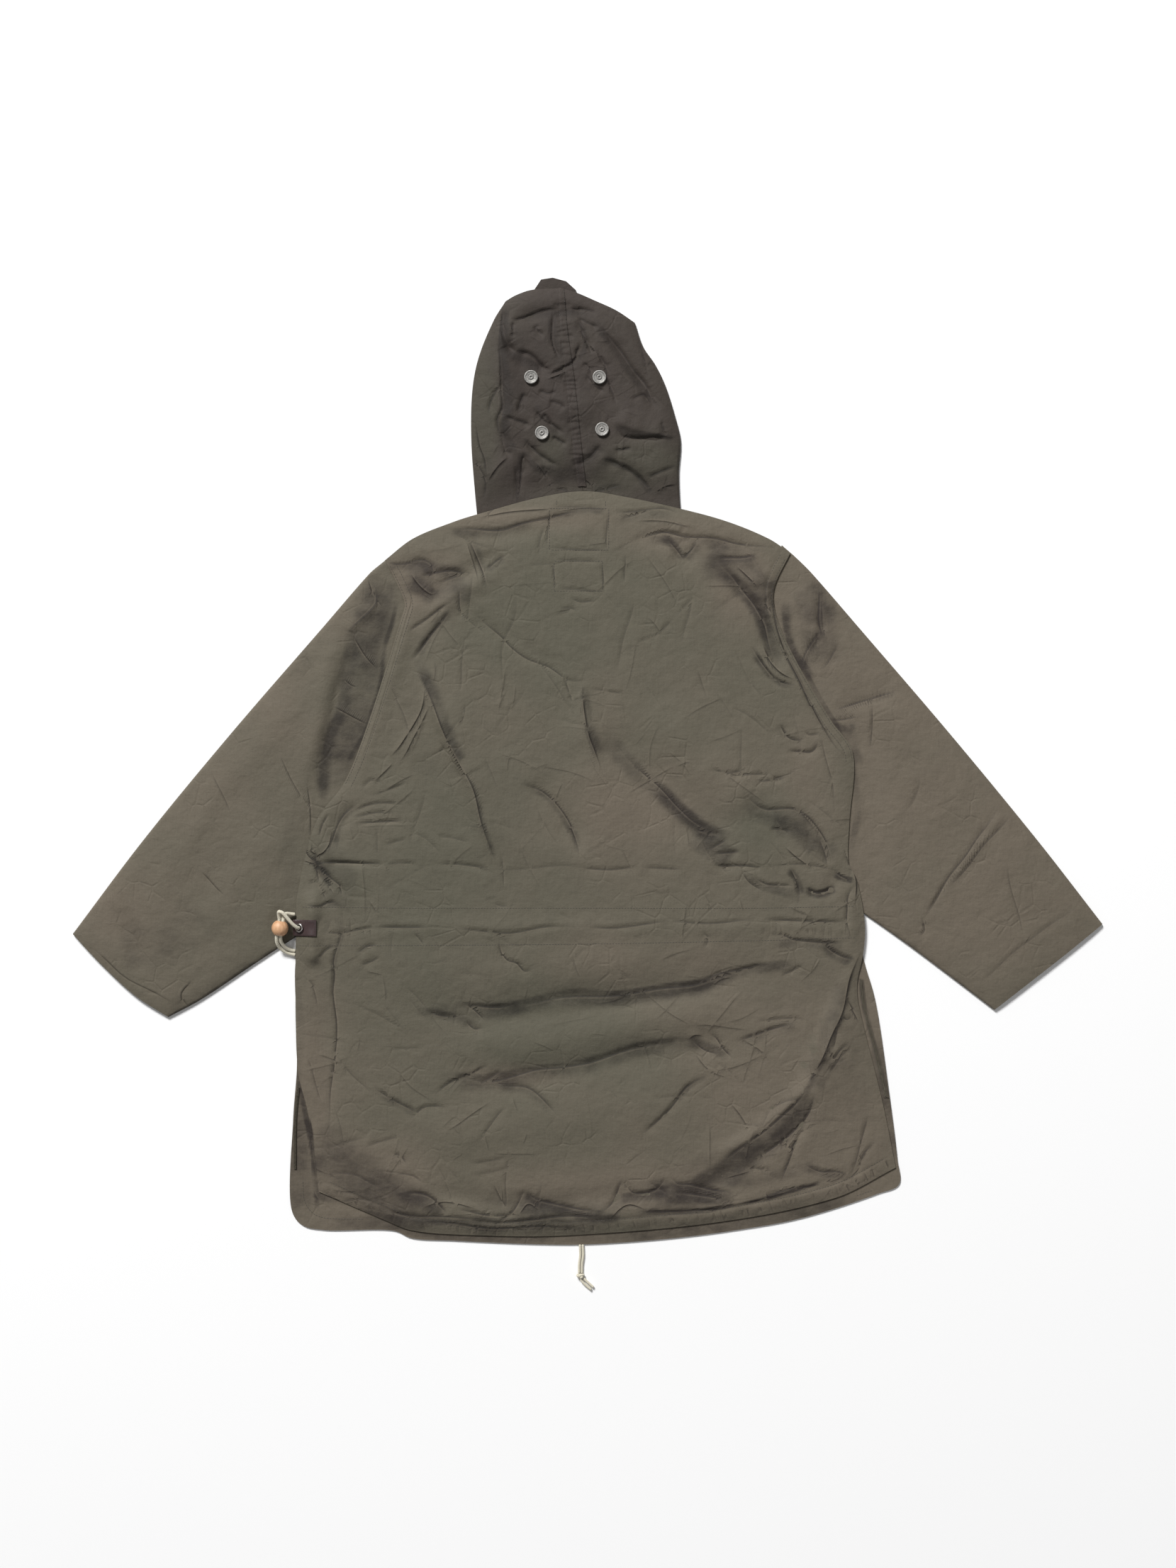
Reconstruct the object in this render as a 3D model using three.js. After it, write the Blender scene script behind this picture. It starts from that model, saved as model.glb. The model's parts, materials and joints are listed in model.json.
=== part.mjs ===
// Anorak smock, laid flat with its back up, its sleeves spread and its hood laid out above the neck.
// Millimetres. X runs across the garment, Y from the hem to the hood, Z up from the surface below it.
import * as THREE from "three";

// Cloth
const WALL = 1.4;
const SEAM_GAP = 0.3;
const SEAT_GAP = 0.5;
const SIDE_ROUND = 2.2;

// Heights of the layers above the surface
const FRONT_TOP = WALL;
const TUBE_EDGE = 2 * WALL + 0.7;
const HEM_RIM = FRONT_TOP + SEAM_GAP + WALL;
const OVER_RIM = TUBE_EDGE + 0.7 + WALL;
const BACK_PUFF = 3.0;
const SLEEVE_PUFF = 3.2;
const HOOD_PUFF = 7.5;
const CUFF_FULLNESS = 0.35;
const ROLL = 14;

// Spans of the panels, used to turn shares of an edge into distances from it
const BACK_SPAN = { across: 590, along: 760 };
const SLEEVE_SPAN = { across: 255, along: 400 };
const HOOD_SPAN = { across: 112, along: 238 };

// How the panels are divided
const BACK_GRID = { across: 34, along: 42 };
const SLEEVE_GRID = { across: 13, along: 16, under: 4 };
const HOOD_GRID = { across: 9, along: 15, under: 3 };
const FRONT_EDGE_STEPS = 130;

// Hood, hardware and cords
const FELL_WIDTH = 9;
const FELL_THICKNESS = 1.2;
const HOOD_FLAP_SHARE = 0.5;
const COVERED = { sleeve: { flat: 29, slope: 45 }, hood: { flat: 14, slope: 40 } };
const BUTTON = { radius: 7.6, thickness: 3.2, rim: 0.7, stud: 2.4 };
const BEAD = { radius: 9.3, hole: 4.7, x: -342, y: -186, z: 15, tilt: 0.17 };
const WAIST_CORD_RADIUS = 2.0;
const HEM_CORD_RADIUS = 1.4;
const KNOT = { x: -8, y: -575, width: 9.6, height: 6.4, depth: 5.2 };
const TAB = { inner: -302, edge: -324.8, top: -177, bottom: -195, thickness: 1.5 };
const TAB_BEND = { start: 1.6, reach: 3.8, drop: 1.2 };
const EYELET = { x: -320.5, y: -186, radius: 4.1, wire: 0.9 };
const ZIP = { width: { left: 3, right: 5.5 }, thickness: 1.6 };

const OLIVE = 0x65614f;
const BROWN = 0x57504a;
const LEATHER = 0x4b3f3d;
const CORD = 0xd8d0bb;
const WOOD = 0xd1a27c;
const METAL = 0x8f8a84;

const table = (names, rows) => rows.map((row) =>
  Object.fromEntries(names.split(" ").map((name, column) => [name, row[column]])));
const toPoint = (row) => new THREE.Vector3(row.x, row.y, row.z ?? 0);
const pointsOf = (names, rows) => table(names, rows).map(toPoint);

// Outline of the back panel. z is the height that its edge lies at: low on the front panel and higher
// where it lies on a sleeve or the hood.
const BACK_LEFT = pointsOf("x y z", [
  [-300, -481, HEM_RIM],
  [-312, -394, HEM_RIM],
  [-323, -349, HEM_RIM],
  [-326, -290, HEM_RIM],
  [-326, -236, HEM_RIM + 1],
  [-326, -213, HEM_RIM + 2],
  [-325, -190, OVER_RIM],
  [-324, -150, OVER_RIM],
  [-303, -68, OVER_RIM],
  [-271, -23, OVER_RIM],
  [-244, 45, OVER_RIM],
  [-208, 159, OVER_RIM],
  [-204, 175, OVER_RIM],
  [-211, 194, OVER_RIM],
  [-226, 224, OVER_RIM],
]);
const BACK_RIGHT = pointsOf("x y z", [
  [344, -454, HEM_RIM],
  [329, -380, HEM_RIM],
  [303, -274, HEM_RIM],
  [301, -248, HEM_RIM],
  [308, -212, HEM_RIM + 1.5],
  [309, -179, OVER_RIM],
  [300, -132, OVER_RIM],
  [291, -113, OVER_RIM],
  [292, -68, OVER_RIM],
  [295, 4, OVER_RIM],
  [264, 41, OVER_RIM],
  [221, 113, OVER_RIM],
  [204, 160, OVER_RIM],
  [204, 192, OVER_RIM],
  [226, 232, OVER_RIM],
]);
const BACK_HEM = pointsOf("x y z", [
  [-300, -481, HEM_RIM],
  [-228, -512, HEM_RIM],
  [-197, -524, HEM_RIM],
  [-141, -529, HEM_RIM],
  [-30, -530, HEM_RIM],
  [145, -515, HEM_RIM],
  [276, -488, HEM_RIM],
  [344, -454, HEM_RIM],
]);
const BACK_NECK = pointsOf("x y z", [
  [-226, 224, OVER_RIM],
  [-195, 248, OVER_RIM - 0.6],
  [-149, 267, OVER_RIM - 0.6],
  [-120, 276, OVER_RIM],
  [-54, 294, OVER_RIM],
  [-4, 301, OVER_RIM],
  [40, 295, OVER_RIM],
  [105, 281, OVER_RIM],
  [156, 267, OVER_RIM - 0.6],
  [202, 248, OVER_RIM - 0.6],
  [226, 232, OVER_RIM],
]);

// Outline of the front panel, counter-clockwise from its lower left corner. It stops inside the
// sleeves' ends and below the hood, and shows beside the side vents and under the back hem.
const FRONT_OUTLINE = pointsOf("x y", [
  [-330, -504],
  [-318, -519],
  [-295, -524],
  [-216, -525],
  [-197, -533],
  [-149, -536],
  [-55, -540],
  [1, -540],
  [88, -534],
  [167, -524],
  [238, -511],
  [323, -484],
  [348, -473],
  [346, -444],
  [337, -372],
  [321, -266],
  [309, -224],
  [300, -178],
  [280, -167],
  [275, -100],
  [272, -37],
  [262, 4],
  [240, 34],
  [207, 92],
  [192, 137],
  [187, 168],
  [189, 196],
  [208, 236],
  [156, 259],
  [106, 262],
  [40, 277],
  [-4, 285],
  [-54, 277],
  [-122, 254],
  [-149, 259],
  [-209, 228],
  [-193, 196],
  [-186, 172],
  [-190, 148],
  [-215, 80],
  [-238, 2],
  [-276, -92],
  [-289, -144],
  [-296, -190],
  [-322, -208],
  [-325, -300],
  [-325, -345],
  [-329, -400],
]);

// Sleeves. The arm end runs from the shoulder to the underarm and lies beneath the back panel.
const SLEEVE_OUTLINES = {
  left: {
    arm: pointsOf("x y", [
      [-215, 228], [-201, 196], [-193, 172], [-197, 148], [-222, 80], [-245, 2],
      [-282, -92], [-295, -144], [-303, -183],
    ]),
    upper: pointsOf("x y", [
      [-215, 228], [-244, 208], [-296, 149], [-399, 30], [-496, -88], [-575, -193],
    ]),
    lower: pointsOf("x y", [
      [-303, -183], [-325, -196], [-371, -226], [-431, -266], [-468, -286],
    ]),
    cuff: pointsOf("x y", [
      [-575, -193], [-544, -226], [-505, -262], [-468, -286],
    ]),
  },
  right: {
    arm: pointsOf("x y", [
      [216, 238], [196, 196], [195, 168], [200, 139], [216, 101], [252, 38], [278, 2],
      [285, -37], [283, -100], [288, -158],
    ]),
    upper: pointsOf("x y", [
      [216, 238], [251, 208], [303, 149], [405, 30], [502, -88], [575, -182],
    ]),
    lower: pointsOf("x y", [
      [288, -158], [309, -171], [360, -207], [412, -246], [454, -278],
    ]),
    cuff: pointsOf("x y", [
      [575, -182], [532, -217], [495, -246], [454, -278],
    ]),
  },
};

// Hood. The centre seam runs from the neck to the crown, and each half reaches out to its side.
const HOOD_SEAM = pointsOf("x y", [
  [-4, 291], [-9, 330], [-14, 371], [-20, 430], [-26, 475], [-30, 528],
]);
const HOOD_OUTLINES = {
  left: {
    base: pointsOf("x y", [[-4, 291], [-54, 284], [-122, 260]]),
    side: pointsOf("x y", [
      [-122, 260], [-126, 301], [-130, 358], [-129, 412], [-122, 450], [-105, 492], [-92, 513],
    ]),
    crown: pointsOf("x y", [[-30, 528], [-62, 526], [-80, 520], [-92, 513]]),
  },
  right: {
    base: pointsOf("x y", [[-4, 291], [40, 285], [104, 271]]),
    side: pointsOf("x y", [
      [104, 271], [102, 320], [104, 357], [98, 384], [87, 419], [76, 442], [62, 463], [53, 489],
    ]),
    crown: pointsOf("x y", [[-30, 528], [-13, 523], [8, 514], [32, 503], [53, 489]]),
  },
};
const BRIM_OUTLINE = pointsOf("x y", [
  [-58, 505], [-16, 505], [-13, 526], [-24, 536], [-39, 540], [-52, 538], [-60, 526],
]);

// The largest folds. A ridge has a height above the cloth and a trough one below it. reach is how far
// from its line it dies away, and steep is the share of that reach on its right-hand side as the line
// is walked, so that a small share makes the lip of a lap.
const fold = (height, reach, steep, ...line) => ({ height, reach, steep, line });
const BACK_FOLDS = [
  // Waist: the pleat above the channel, the channel itself and its two ends
  fold(-2.4, 9, 1, [-284, -116], [-140, -120], [96, -121], [212, -117]),
  fold(1.8, 22, 1, [-240, -97], [-60, -98], [120, -98], [250, -92]),
  fold(1.6, 15, 1, [-316, -186], [-60, -186], [160, -184], [296, -182]),
  fold(7.0, 13, 1, [-308, -160], [-308, -212]),
  fold(-3.4, 11, 1, [-318, -84], [-300, -110], [-284, -136]),
  fold(-3.6, 12, 1, [296, -108], [284, -128], [262, -134]),
  fold(2.4, 14, 0.5, [296, -140], [293, -204]),
  // Upper back
  fold(4.6, 40, 0.34, [-190, 113], [-157, 41], [-126, -31], [-100, -112]),
  fold(-2.6, 22, 1, [-67, -14], [-31, -59], [-4, -108]),
  fold(-4.2, 34, 1, [-3, 66], [24, 23], [70, -23], [115, -63], [160, -106]),
  fold(3.0, 30, 1, [-22, 60], [14, -30], [52, -96]),
  fold(3.2, 32, 1, [70, 70], [120, 10], [190, -60]),
  fold(-2.8, 16, 1, [192, 178], [214, 104], [238, 66]),
  fold(-2.4, 13, 1, [-144, 168], [-80, 132], [-18, 92]),
  fold(-3.2, 13, 1, [-171, 186], [-144, 204], [-89, 238]),
  fold(2.4, 14, 1, [-178, 168], [-140, 186], [-96, 214]),
  fold(-2.6, 12, 1, [-222, 214], [-170, 222], [-150, 216]),
  fold(-2.6, 12, 1, [50, 250], [110, 250], [200, 238]),
  fold(-3.0, 14, 1, [132, 230], [166, 212], [194, 176]),
  fold(-4.0, 20, 1, [-246, -30], [-203, 23], [-182, 66]),
  fold(3.4, 24, 1, [-270, -56], [-232, -10], [-206, 48]),
  // Skirt
  fold(-4.6, 27, 1, [-210, -270], [-123, -283], [-30, -271], [109, -252], [240, -228]),
  fold(-4.2, 25, 1, [-170, -352], [-95, -357], [-30, -343], [109, -318], [190, -304]),
  fold(3.4, 30, 1, [-180, -318], [-50, -316], [80, -290], [210, -268]),
  fold(2.6, 34, 1, [-250, -240], [-60, -236], [120, -216]),
  fold(3.0, 34, 1, [-220, -420], [-100, -412], [20, -396], [140, -372]),
  fold(7.0, 62, 0.24, [300, -232], [272, -306], [250, -366], [228, -414], [128, -460]),
  fold(-3.6, 17, 1, [257, -350], [226, -420], [150, -470], [70, -486]),
  fold(-2.8, 14, 1, [-210, -474], [-100, -492], [20, -488], [90, -484]),
  fold(2.2, 20, 1, [-240, -500], [-60, -512], [140, -498], [300, -470]),
  fold(-2.6, 18, 1, [-268, -300], [-274, -380], [-284, -440]),
];
const SLEEVE_FOLDS = {
  left: [
    fold(-3.0, 16, 1, [-258, 160], [-286, 60], [-312, -50]),
    fold(2.6, 26, 1, [-300, 100], [-372, 10], [-440, -90], [-500, -190]),
    fold(-2.2, 16, 1, [-248, 60], [-300, 56], [-330, 66]),
    fold(2.0, 24, 1, [-340, -60], [-390, -140], [-440, -210]),
    fold(-2.0, 20, 1, [-360, 20], [-430, -90], [-480, -170]),
  ],
  right: [
    fold(-2.8, 15, 1, [228, 190], [262, 120], [300, 60]),
    fold(2.6, 26, 1, [300, 110], [370, 20], [440, -80], [510, -180]),
    fold(-2.4, 13, 1, [250, 64], [290, 82], [330, 96]),
    fold(-3.0, 15, 1, [478, -58], [430, -120], [366, -190]),
    fold(2.4, 22, 1, [440, -40], [392, -100], [336, -160]),
  ],
};
const HOOD_FOLDS = [
  fold(4.2, 24, 0.3, [-94, 508], [-96, 440], [-95, 392], [-92, 346]),
  fold(-3.4, 11, 1, [-86, 492], [-54, 498], [-20, 502], [14, 499]),
  fold(-3.0, 12, 1, [-92, 475], [-80, 452], [-38, 427]),
  fold(-3.2, 12, 1, [16, 486], [54, 432], [70, 404], [93, 374]),
  fold(3.4, 22, 0.4, [26, 382], [58, 370], [103, 360]),
  fold(-3.2, 13, 1, [15, 338], [58, 310], [74, 290]),
  fold(-3.0, 11, 1, [-69, 346], [-76, 312], [-79, 280]),
  fold(-2.4, 11, 1, [-60, 358], [-45, 314], [-38, 292]),
  fold(2.6, 20, 1, [-60, 400], [-20, 392], [20, 400]),
];

// A smooth curve through a row of points, taken by its share of the whole length.
function curveThrough(points) {
  const stations = [0];
  for (let i = 1; i < points.length; i += 1) {
    stations.push(stations[i - 1] + points[i].distanceTo(points[i - 1]));
  }
  const last = points.length - 1;
  const slopes = points.map((_, i) => {
    const before = Math.max(i - 1, 0);
    const after = Math.min(i + 1, last);
    const rise = points[after].clone().sub(points[before]);
    return rise.divideScalar(stations[after] - stations[before]);
  });
  return (share) => {
    const at = share * stations[last];
    let i = 0;
    while (i < last - 1 && stations[i + 1] < at) i += 1;
    const step = stations[i + 1] - stations[i];
    const w = (at - stations[i]) / step;
    return points[i].clone().multiplyScalar((1 + 2 * w) * (1 - w) ** 2)
      .addScaledVector(slopes[i], step * w * (1 - w) ** 2)
      .addScaledVector(points[i + 1], w * w * (3 - 2 * w))
      .addScaledVector(slopes[i + 1], -step * w * w * (1 - w));
  };
}

// A panel held by four edge curves: u runs across it from left to right, v along it.
function panelBetween(start, end, left, right) {
  const [atStart, atEnd, atLeft, atRight] = [start, end, left, right].map(curveThrough);
  return (u, v) => atStart(u).multiplyScalar(1 - v)
    .addScaledVector(atEnd(u), v)
    .addScaledVector(atLeft(v), 1 - u)
    .addScaledVector(atRight(v), u)
    .addScaledVector(atStart(0), -(1 - u) * (1 - v))
    .addScaledVector(atStart(1), -u * (1 - v))
    .addScaledVector(atEnd(0), -(1 - u) * v)
    .addScaledVector(atEnd(1), -u * v);
}

const easeInOut = (share) => {
  const s = Math.min(Math.max(share, 0), 1);
  return s * s * (3 - 2 * s);
};

// How far the cloth has risen from a rounded edge, at a distance from that edge.
const rollUp = (distance) => 1 - Math.exp(-Math.max(distance, 0) / ROLL);

// Where a place lies from a line of points: how far, on which side, and at what share of the line.
function besideLine(line, x, y) {
  let found = { distance: Infinity, side: 1, along: 0 };
  for (let i = 0; i < line.length - 1; i += 1) {
    const [x0, y0] = line[i];
    const [dx, dy] = [line[i + 1][0] - x0, line[i + 1][1] - y0];
    const share = Math.min(Math.max(((x - x0) * dx + (y - y0) * dy) / (dx * dx + dy * dy), 0), 1);
    const distance = Math.hypot(x - x0 - share * dx, y - y0 - share * dy);
    if (distance < found.distance) {
      const side = Math.sign(dx * (y - y0) - dy * (x - x0));
      found = { distance, side, along: (i + share) / (line.length - 1) };
    }
  }
  return found;
}

// The height that one fold adds at a place.
function foldHeight({ height, reach, steep, line }, x, y) {
  const { distance, side, along } = besideLine(line, x, y);
  const width = side < 0 ? reach * steep : reach;
  const taper = easeInOut(along / 0.25) * easeInOut((1 - along) / 0.25);
  return height * taper * Math.exp(-((distance / width) ** 2) * 1.6);
}
const foldsHeight = (folds, x, y) => folds.reduce((sum, one) => sum + foldHeight(one, x, y), 0);

const shares = (count) => Array.from({ length: count + 1 }, (_, i) => i / count);

// A closed wall between an outer and an inner sheet of points, given as rows of equal length. Where
// the rows are rings, each row closes on itself and the wall is a tube.
function wallBetween(outer, inner, rings = false) {
  const rows = outer.length;
  const columns = outer[0].length;
  const positions = [...outer.flat(), ...inner.flat()].flatMap((p) => [p.x, p.y, p.z]);
  const index = [];
  const quad = (a, b, c, d) => index.push(a, b, c, a, c, d);
  const at = (sheet, i, j) => sheet * rows * columns + i * columns + (j % columns);
  const lastColumn = rings ? columns : columns - 1;
  for (let i = 0; i < rows - 1; i += 1) {
    for (let j = 0; j < lastColumn; j += 1) {
      quad(at(0, i, j), at(0, i, j + 1), at(0, i + 1, j + 1), at(0, i + 1, j));
      quad(at(1, i, j), at(1, i + 1, j), at(1, i + 1, j + 1), at(1, i, j + 1));
    }
    if (!rings) {
      quad(at(0, i, 0), at(0, i + 1, 0), at(1, i + 1, 0), at(1, i, 0));
      quad(at(0, i, lastColumn), at(1, i, lastColumn), at(1, i + 1, lastColumn), at(0, i + 1, lastColumn));
    }
  }
  for (let j = 0; j < lastColumn; j += 1) {
    quad(at(0, 0, j), at(1, 0, j), at(1, 0, j + 1), at(0, 0, j + 1));
    quad(at(0, rows - 1, j), at(0, rows - 1, j + 1), at(1, rows - 1, j + 1), at(1, rows - 1, j));
  }
  const geometry = new THREE.BufferGeometry();
  geometry.setAttribute("position", new THREE.Float32BufferAttribute(positions, 3));
  geometry.setIndex(facingOut(positions, index));
  geometry.computeVertexNormals();
  return geometry;
}

// The same triangles, turned over if they enclose a negative volume.
function facingOut(positions, index) {
  const corner = (i) => new THREE.Vector3().fromArray(positions, 3 * i);
  let volume = 0;
  for (let i = 0; i < index.length; i += 3) {
    volume += corner(index[i]).dot(corner(index[i + 1]).cross(corner(index[i + 2])));
  }
  return volume > 0 ? index : index.slice().reverse();
}

const raised = (points, height) =>
  points.map((row) => row.map((p) => new THREE.Vector3(p.x, p.y, p.z + height)));

// The back panel's upper side.
const backPlan = panelBetween(BACK_HEM, BACK_NECK, BACK_LEFT, BACK_RIGHT);
function backPoint(u, v) {
  const point = backPlan(u, v);
  const { across, along } = BACK_SPAN;
  const roll = rollUp(u * across) * rollUp((1 - u) * across) * rollUp(v * along) * rollUp((1 - v) * along);
  point.z += Math.max(roll * (BACK_PUFF + foldsHeight(BACK_FOLDS, point.x, point.y)), 0);
  return point;
}
const backTop = shares(BACK_GRID.along).map((v) => shares(BACK_GRID.across).map((u) => backPoint(u, v)));

function backPanel() {
  return wallBetween(backTop, raised(backTop, -WALL));
}

// The height of a sheet of facets over one place.
function heightOn(sheet, x, y) {
  const place = new THREE.Vector3(x, y, 0);
  const share = new THREE.Vector3();
  for (let i = 0; i < sheet.length - 1; i += 1) {
    for (let j = 0; j < sheet[i].length - 1; j += 1) {
      const [a, b] = [sheet[i][j], sheet[i][j + 1]];
      const [d, c] = [sheet[i + 1][j], sheet[i + 1][j + 1]];
      for (const facet of [[a, b, c], [a, c, d]]) {
        const flat = facet.map((p) => new THREE.Vector3(p.x, p.y, 0));
        THREE.Triangle.getBarycoord(place, ...flat, share);
        if (Math.min(share.x, share.y, share.z) >= -1e-6) {
          return facet[0].z * share.x + facet[1].z * share.y + facet[2].z * share.z;
        }
      }
    }
  }
  return -Infinity;
}

// Where a small round piece sits on a sheet of facets: its centre and the direction it faces.
function seatOn(sheet, x, y, radius) {
  const on = (dx, dy) => new THREE.Vector3(x + dx, y + dy, heightOn(sheet, x + dx, y + dy));
  const across = on(radius, 0).sub(on(-radius, 0));
  const along = on(0, radius).sub(on(0, -radius));
  return { centre: on(0, 0), up: across.cross(along).normalize() };
}

// The front panel is flat where it lies on the surface.
function frontPanel() {
  const edge = new THREE.CatmullRomCurve3(FRONT_OUTLINE, true, "centripetal");
  return flatPiece(edge.getPoints(FRONT_EDGE_STEPS).slice(0, -1));
}

// One flat layer of cloth on the surface, cut to an outline.
function flatPiece(outline) {
  const shape = new THREE.Shape(outline.map((p) => new THREE.Vector2(p.x, p.y)));
  return new THREE.ExtrudeGeometry(shape, { depth: WALL, bevelEnabled: false });
}

// A quarter-step arc round the side of a flattened tube: where it stands between its top and bottom.
const SIDE_ARC = [0.25, 0.5, 0.75].map((turn) => ({
  out: Math.sin(turn * Math.PI),
  up: Math.cos(turn * Math.PI),
}));

// A sleeve: flattened rings from the arm to the cuff.
function sleeveTop(side) {
  const { arm, upper, lower, cuff } = SLEEVE_OUTLINES[side];
  const plan = panelBetween(arm, cuff, upper, lower);
  const armLine = arm.map((p) => [p.x, p.y]);
  const { across, along } = SLEEVE_SPAN;
  const { flat, slope } = COVERED.sleeve;
  return (u, v) => {
    const point = plan(u, v);
    const fromBody = easeInOut((besideLine(armLine, point.x, point.y).distance - flat) / slope);
    const roll = rollUp(u * across) * rollUp((1 - u) * across) * fromBody;
    const cuffRoll = CUFF_FULLNESS + (1 - CUFF_FULLNESS) * rollUp((1 - v) * along);
    const rise = SLEEVE_PUFF + foldsHeight(SLEEVE_FOLDS[side], point.x, point.y);
    point.z = TUBE_EDGE + Math.max(roll * cuffRoll * rise, 0);
    return point;
  };
}
function sleeve(side) {
  const surface = sleeveTop(side);
  const round = SIDE_ROUND / SLEEVE_SPAN.across;
  const spread = (share) => round + share * (1 - 2 * round);
  const ring = (v, inset) => {
    const halfEdge = TUBE_EDGE / 2;
    const top = shares(SLEEVE_GRID.across).map((s) => surface(spread(s), v)).map((p) => p.setZ(p.z - inset));
    const sidePoint = (outward, { out, up }) => {
      const from = surface(outward > 0 ? 1 - round : round, v);
      const to = surface(outward > 0 ? 1 : 0, v);
      const point = from.clone().lerp(to, out * (1 - inset / SIDE_ROUND));
      return point.setZ(halfEdge + up * (halfEdge - inset));
    };
    const bottom = shares(SLEEVE_GRID.under).map((s) => surface(spread(1 - s), v).setZ(inset));
    return [
      ...top,
      ...SIDE_ARC.map((arc) => sidePoint(1, arc)),
      ...bottom,
      ...SIDE_ARC.map((arc) => sidePoint(-1, { out: arc.out, up: -arc.up })),
    ];
  };
  const stations = shares(SLEEVE_GRID.along);
  return wallBetween(stations.map((v) => ring(v, 0)), stations.map((v) => ring(v, WALL)), true);
}

// Half of the hood: its upper layer from the centre seam, round the side, and back below as a flap.
const hoodPlan = Object.fromEntries(["left", "right"].map((side) => {
  const { base, crown, side: edge } = HOOD_OUTLINES[side];
  return [side, panelBetween(base, crown, HOOD_SEAM, edge)];
}));
const fellShare = FELL_WIDTH / 2 / HOOD_SPAN.across;
function hoodPoint(side, u, v) {
  const outward = side === "left" ? -1 : 1;
  const point = hoodPlan[side](u, v);
  point.x += outward * (SEAM_GAP / 2) * (1 - u);
  const { across, along } = HOOD_SPAN;
  const fromNeck = easeInOut((v * along - COVERED.hood.flat) / COVERED.hood.slope);
  const fromCrown = rollUp((1 - v) * along);
  const roll = rollUp((1 - u) * across) * fromNeck * fromCrown;
  point.z = TUBE_EDGE + Math.max(roll * (HOOD_PUFF + foldsHeight(HOOD_FOLDS, point.x, point.y)), 0);
  return point;
}
const hoodColumns = () => {
  const outermost = 1 - SIDE_ROUND / HOOD_SPAN.across;
  return [0, ...shares(HOOD_GRID.across).map((s) => fellShare + s * (outermost - fellShare))];
};
const hoodTop = (side) => shares(HOOD_GRID.along).map((v) => hoodColumns().map((u) => hoodPoint(side, u, v)));

function hoodHalf(side) {
  const row = (top, v, inset) => {
    const halfEdge = TUBE_EDGE / 2;
    const from = top[top.length - 1];
    const to = hoodPoint(side, 1, v);
    const arc = SIDE_ARC.map(({ out, up }) => from.clone()
      .lerp(to, out * (1 - inset / SIDE_ROUND))
      .setZ(halfEdge + up * (halfEdge - inset)));
    const outermost = 1 - SIDE_ROUND / HOOD_SPAN.across;
    const flap = shares(HOOD_GRID.under).map((s) =>
      hoodPoint(side, outermost - s * HOOD_FLAP_SHARE, v).setZ(inset));
    return [...top.map((p) => p.clone().setZ(p.z - inset)), ...arc, ...flap];
  };
  const stations = shares(HOOD_GRID.along);
  const top = hoodTop(side);
  return wallBetween(
    stations.map((v, i) => row(top[i], v, 0)),
    stations.map((v, i) => row(top[i], v, WALL)),
  );
}

// The felled strip lies over the first columns of both halves.
function hoodFell() {
  const [left, right] = ["left", "right"].map(hoodTop);
  const rows = left.map((row, i) => [row[1], row[0], right[i][0], right[i][1]])
    .slice(1)
    .map((row) => row.map((p) => p.clone()));
  const under = raised(rows, SEAM_GAP);
  return wallBetween(raised(under, FELL_THICKNESS), under);
}

// A body turned about Z from half of its section; the section closes on the axis or on itself.
const turned = (section, sides) => {
  const body = new THREE.LatheGeometry(section.map(([r, z]) => new THREE.Vector2(r, z)), sides);
  return body.rotateX(Math.PI / 2);
};

// A tack button: a dished disc with a raised rim and a stud in the middle.
function tackButton() {
  const { radius, thickness, rim, stud } = BUTTON;
  const dish = thickness - rim;
  return turned([
    [0, 0],
    [radius - 1, 0],
    [radius, 0.8],
    [radius, thickness - 0.9],
    [radius - 1.1, thickness],
    [radius - 2, dish],
    [stud + 0.6, dish - 0.2],
    [stud, thickness - 0.3],
    [0, thickness - 0.1],
  ], 20);
}

// A wooden bead with a hole along Y for the two strands.
function bead() {
  const { radius, hole } = BEAD;
  const mouth = Math.acos(hole / radius);
  const section = shares(10).map((s) => {
    const angle = mouth * (2 * s - 1);
    return [radius * Math.cos(angle), radius * Math.sin(angle)];
  });
  const body = turned([...section, section[0]], 20);
  return body.rotateX(Math.PI / 2);
}

// A round cord along a row of points.
function cord(points, radius) {
  const path = new THREE.CatmullRomCurve3(points, false, "centripetal");
  const sides = 8;
  const section = new THREE.Shape(shares(sides).slice(0, sides).map((s) => new THREE.Vector2(
    radius * Math.cos(2 * Math.PI * s),
    radius * Math.sin(2 * Math.PI * s),
  )));
  const steps = Math.ceil(path.getLength() / (5 * radius));
  return new THREE.ExtrudeGeometry(section, { steps, extrudePath: path, bevelEnabled: false });
}

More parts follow.
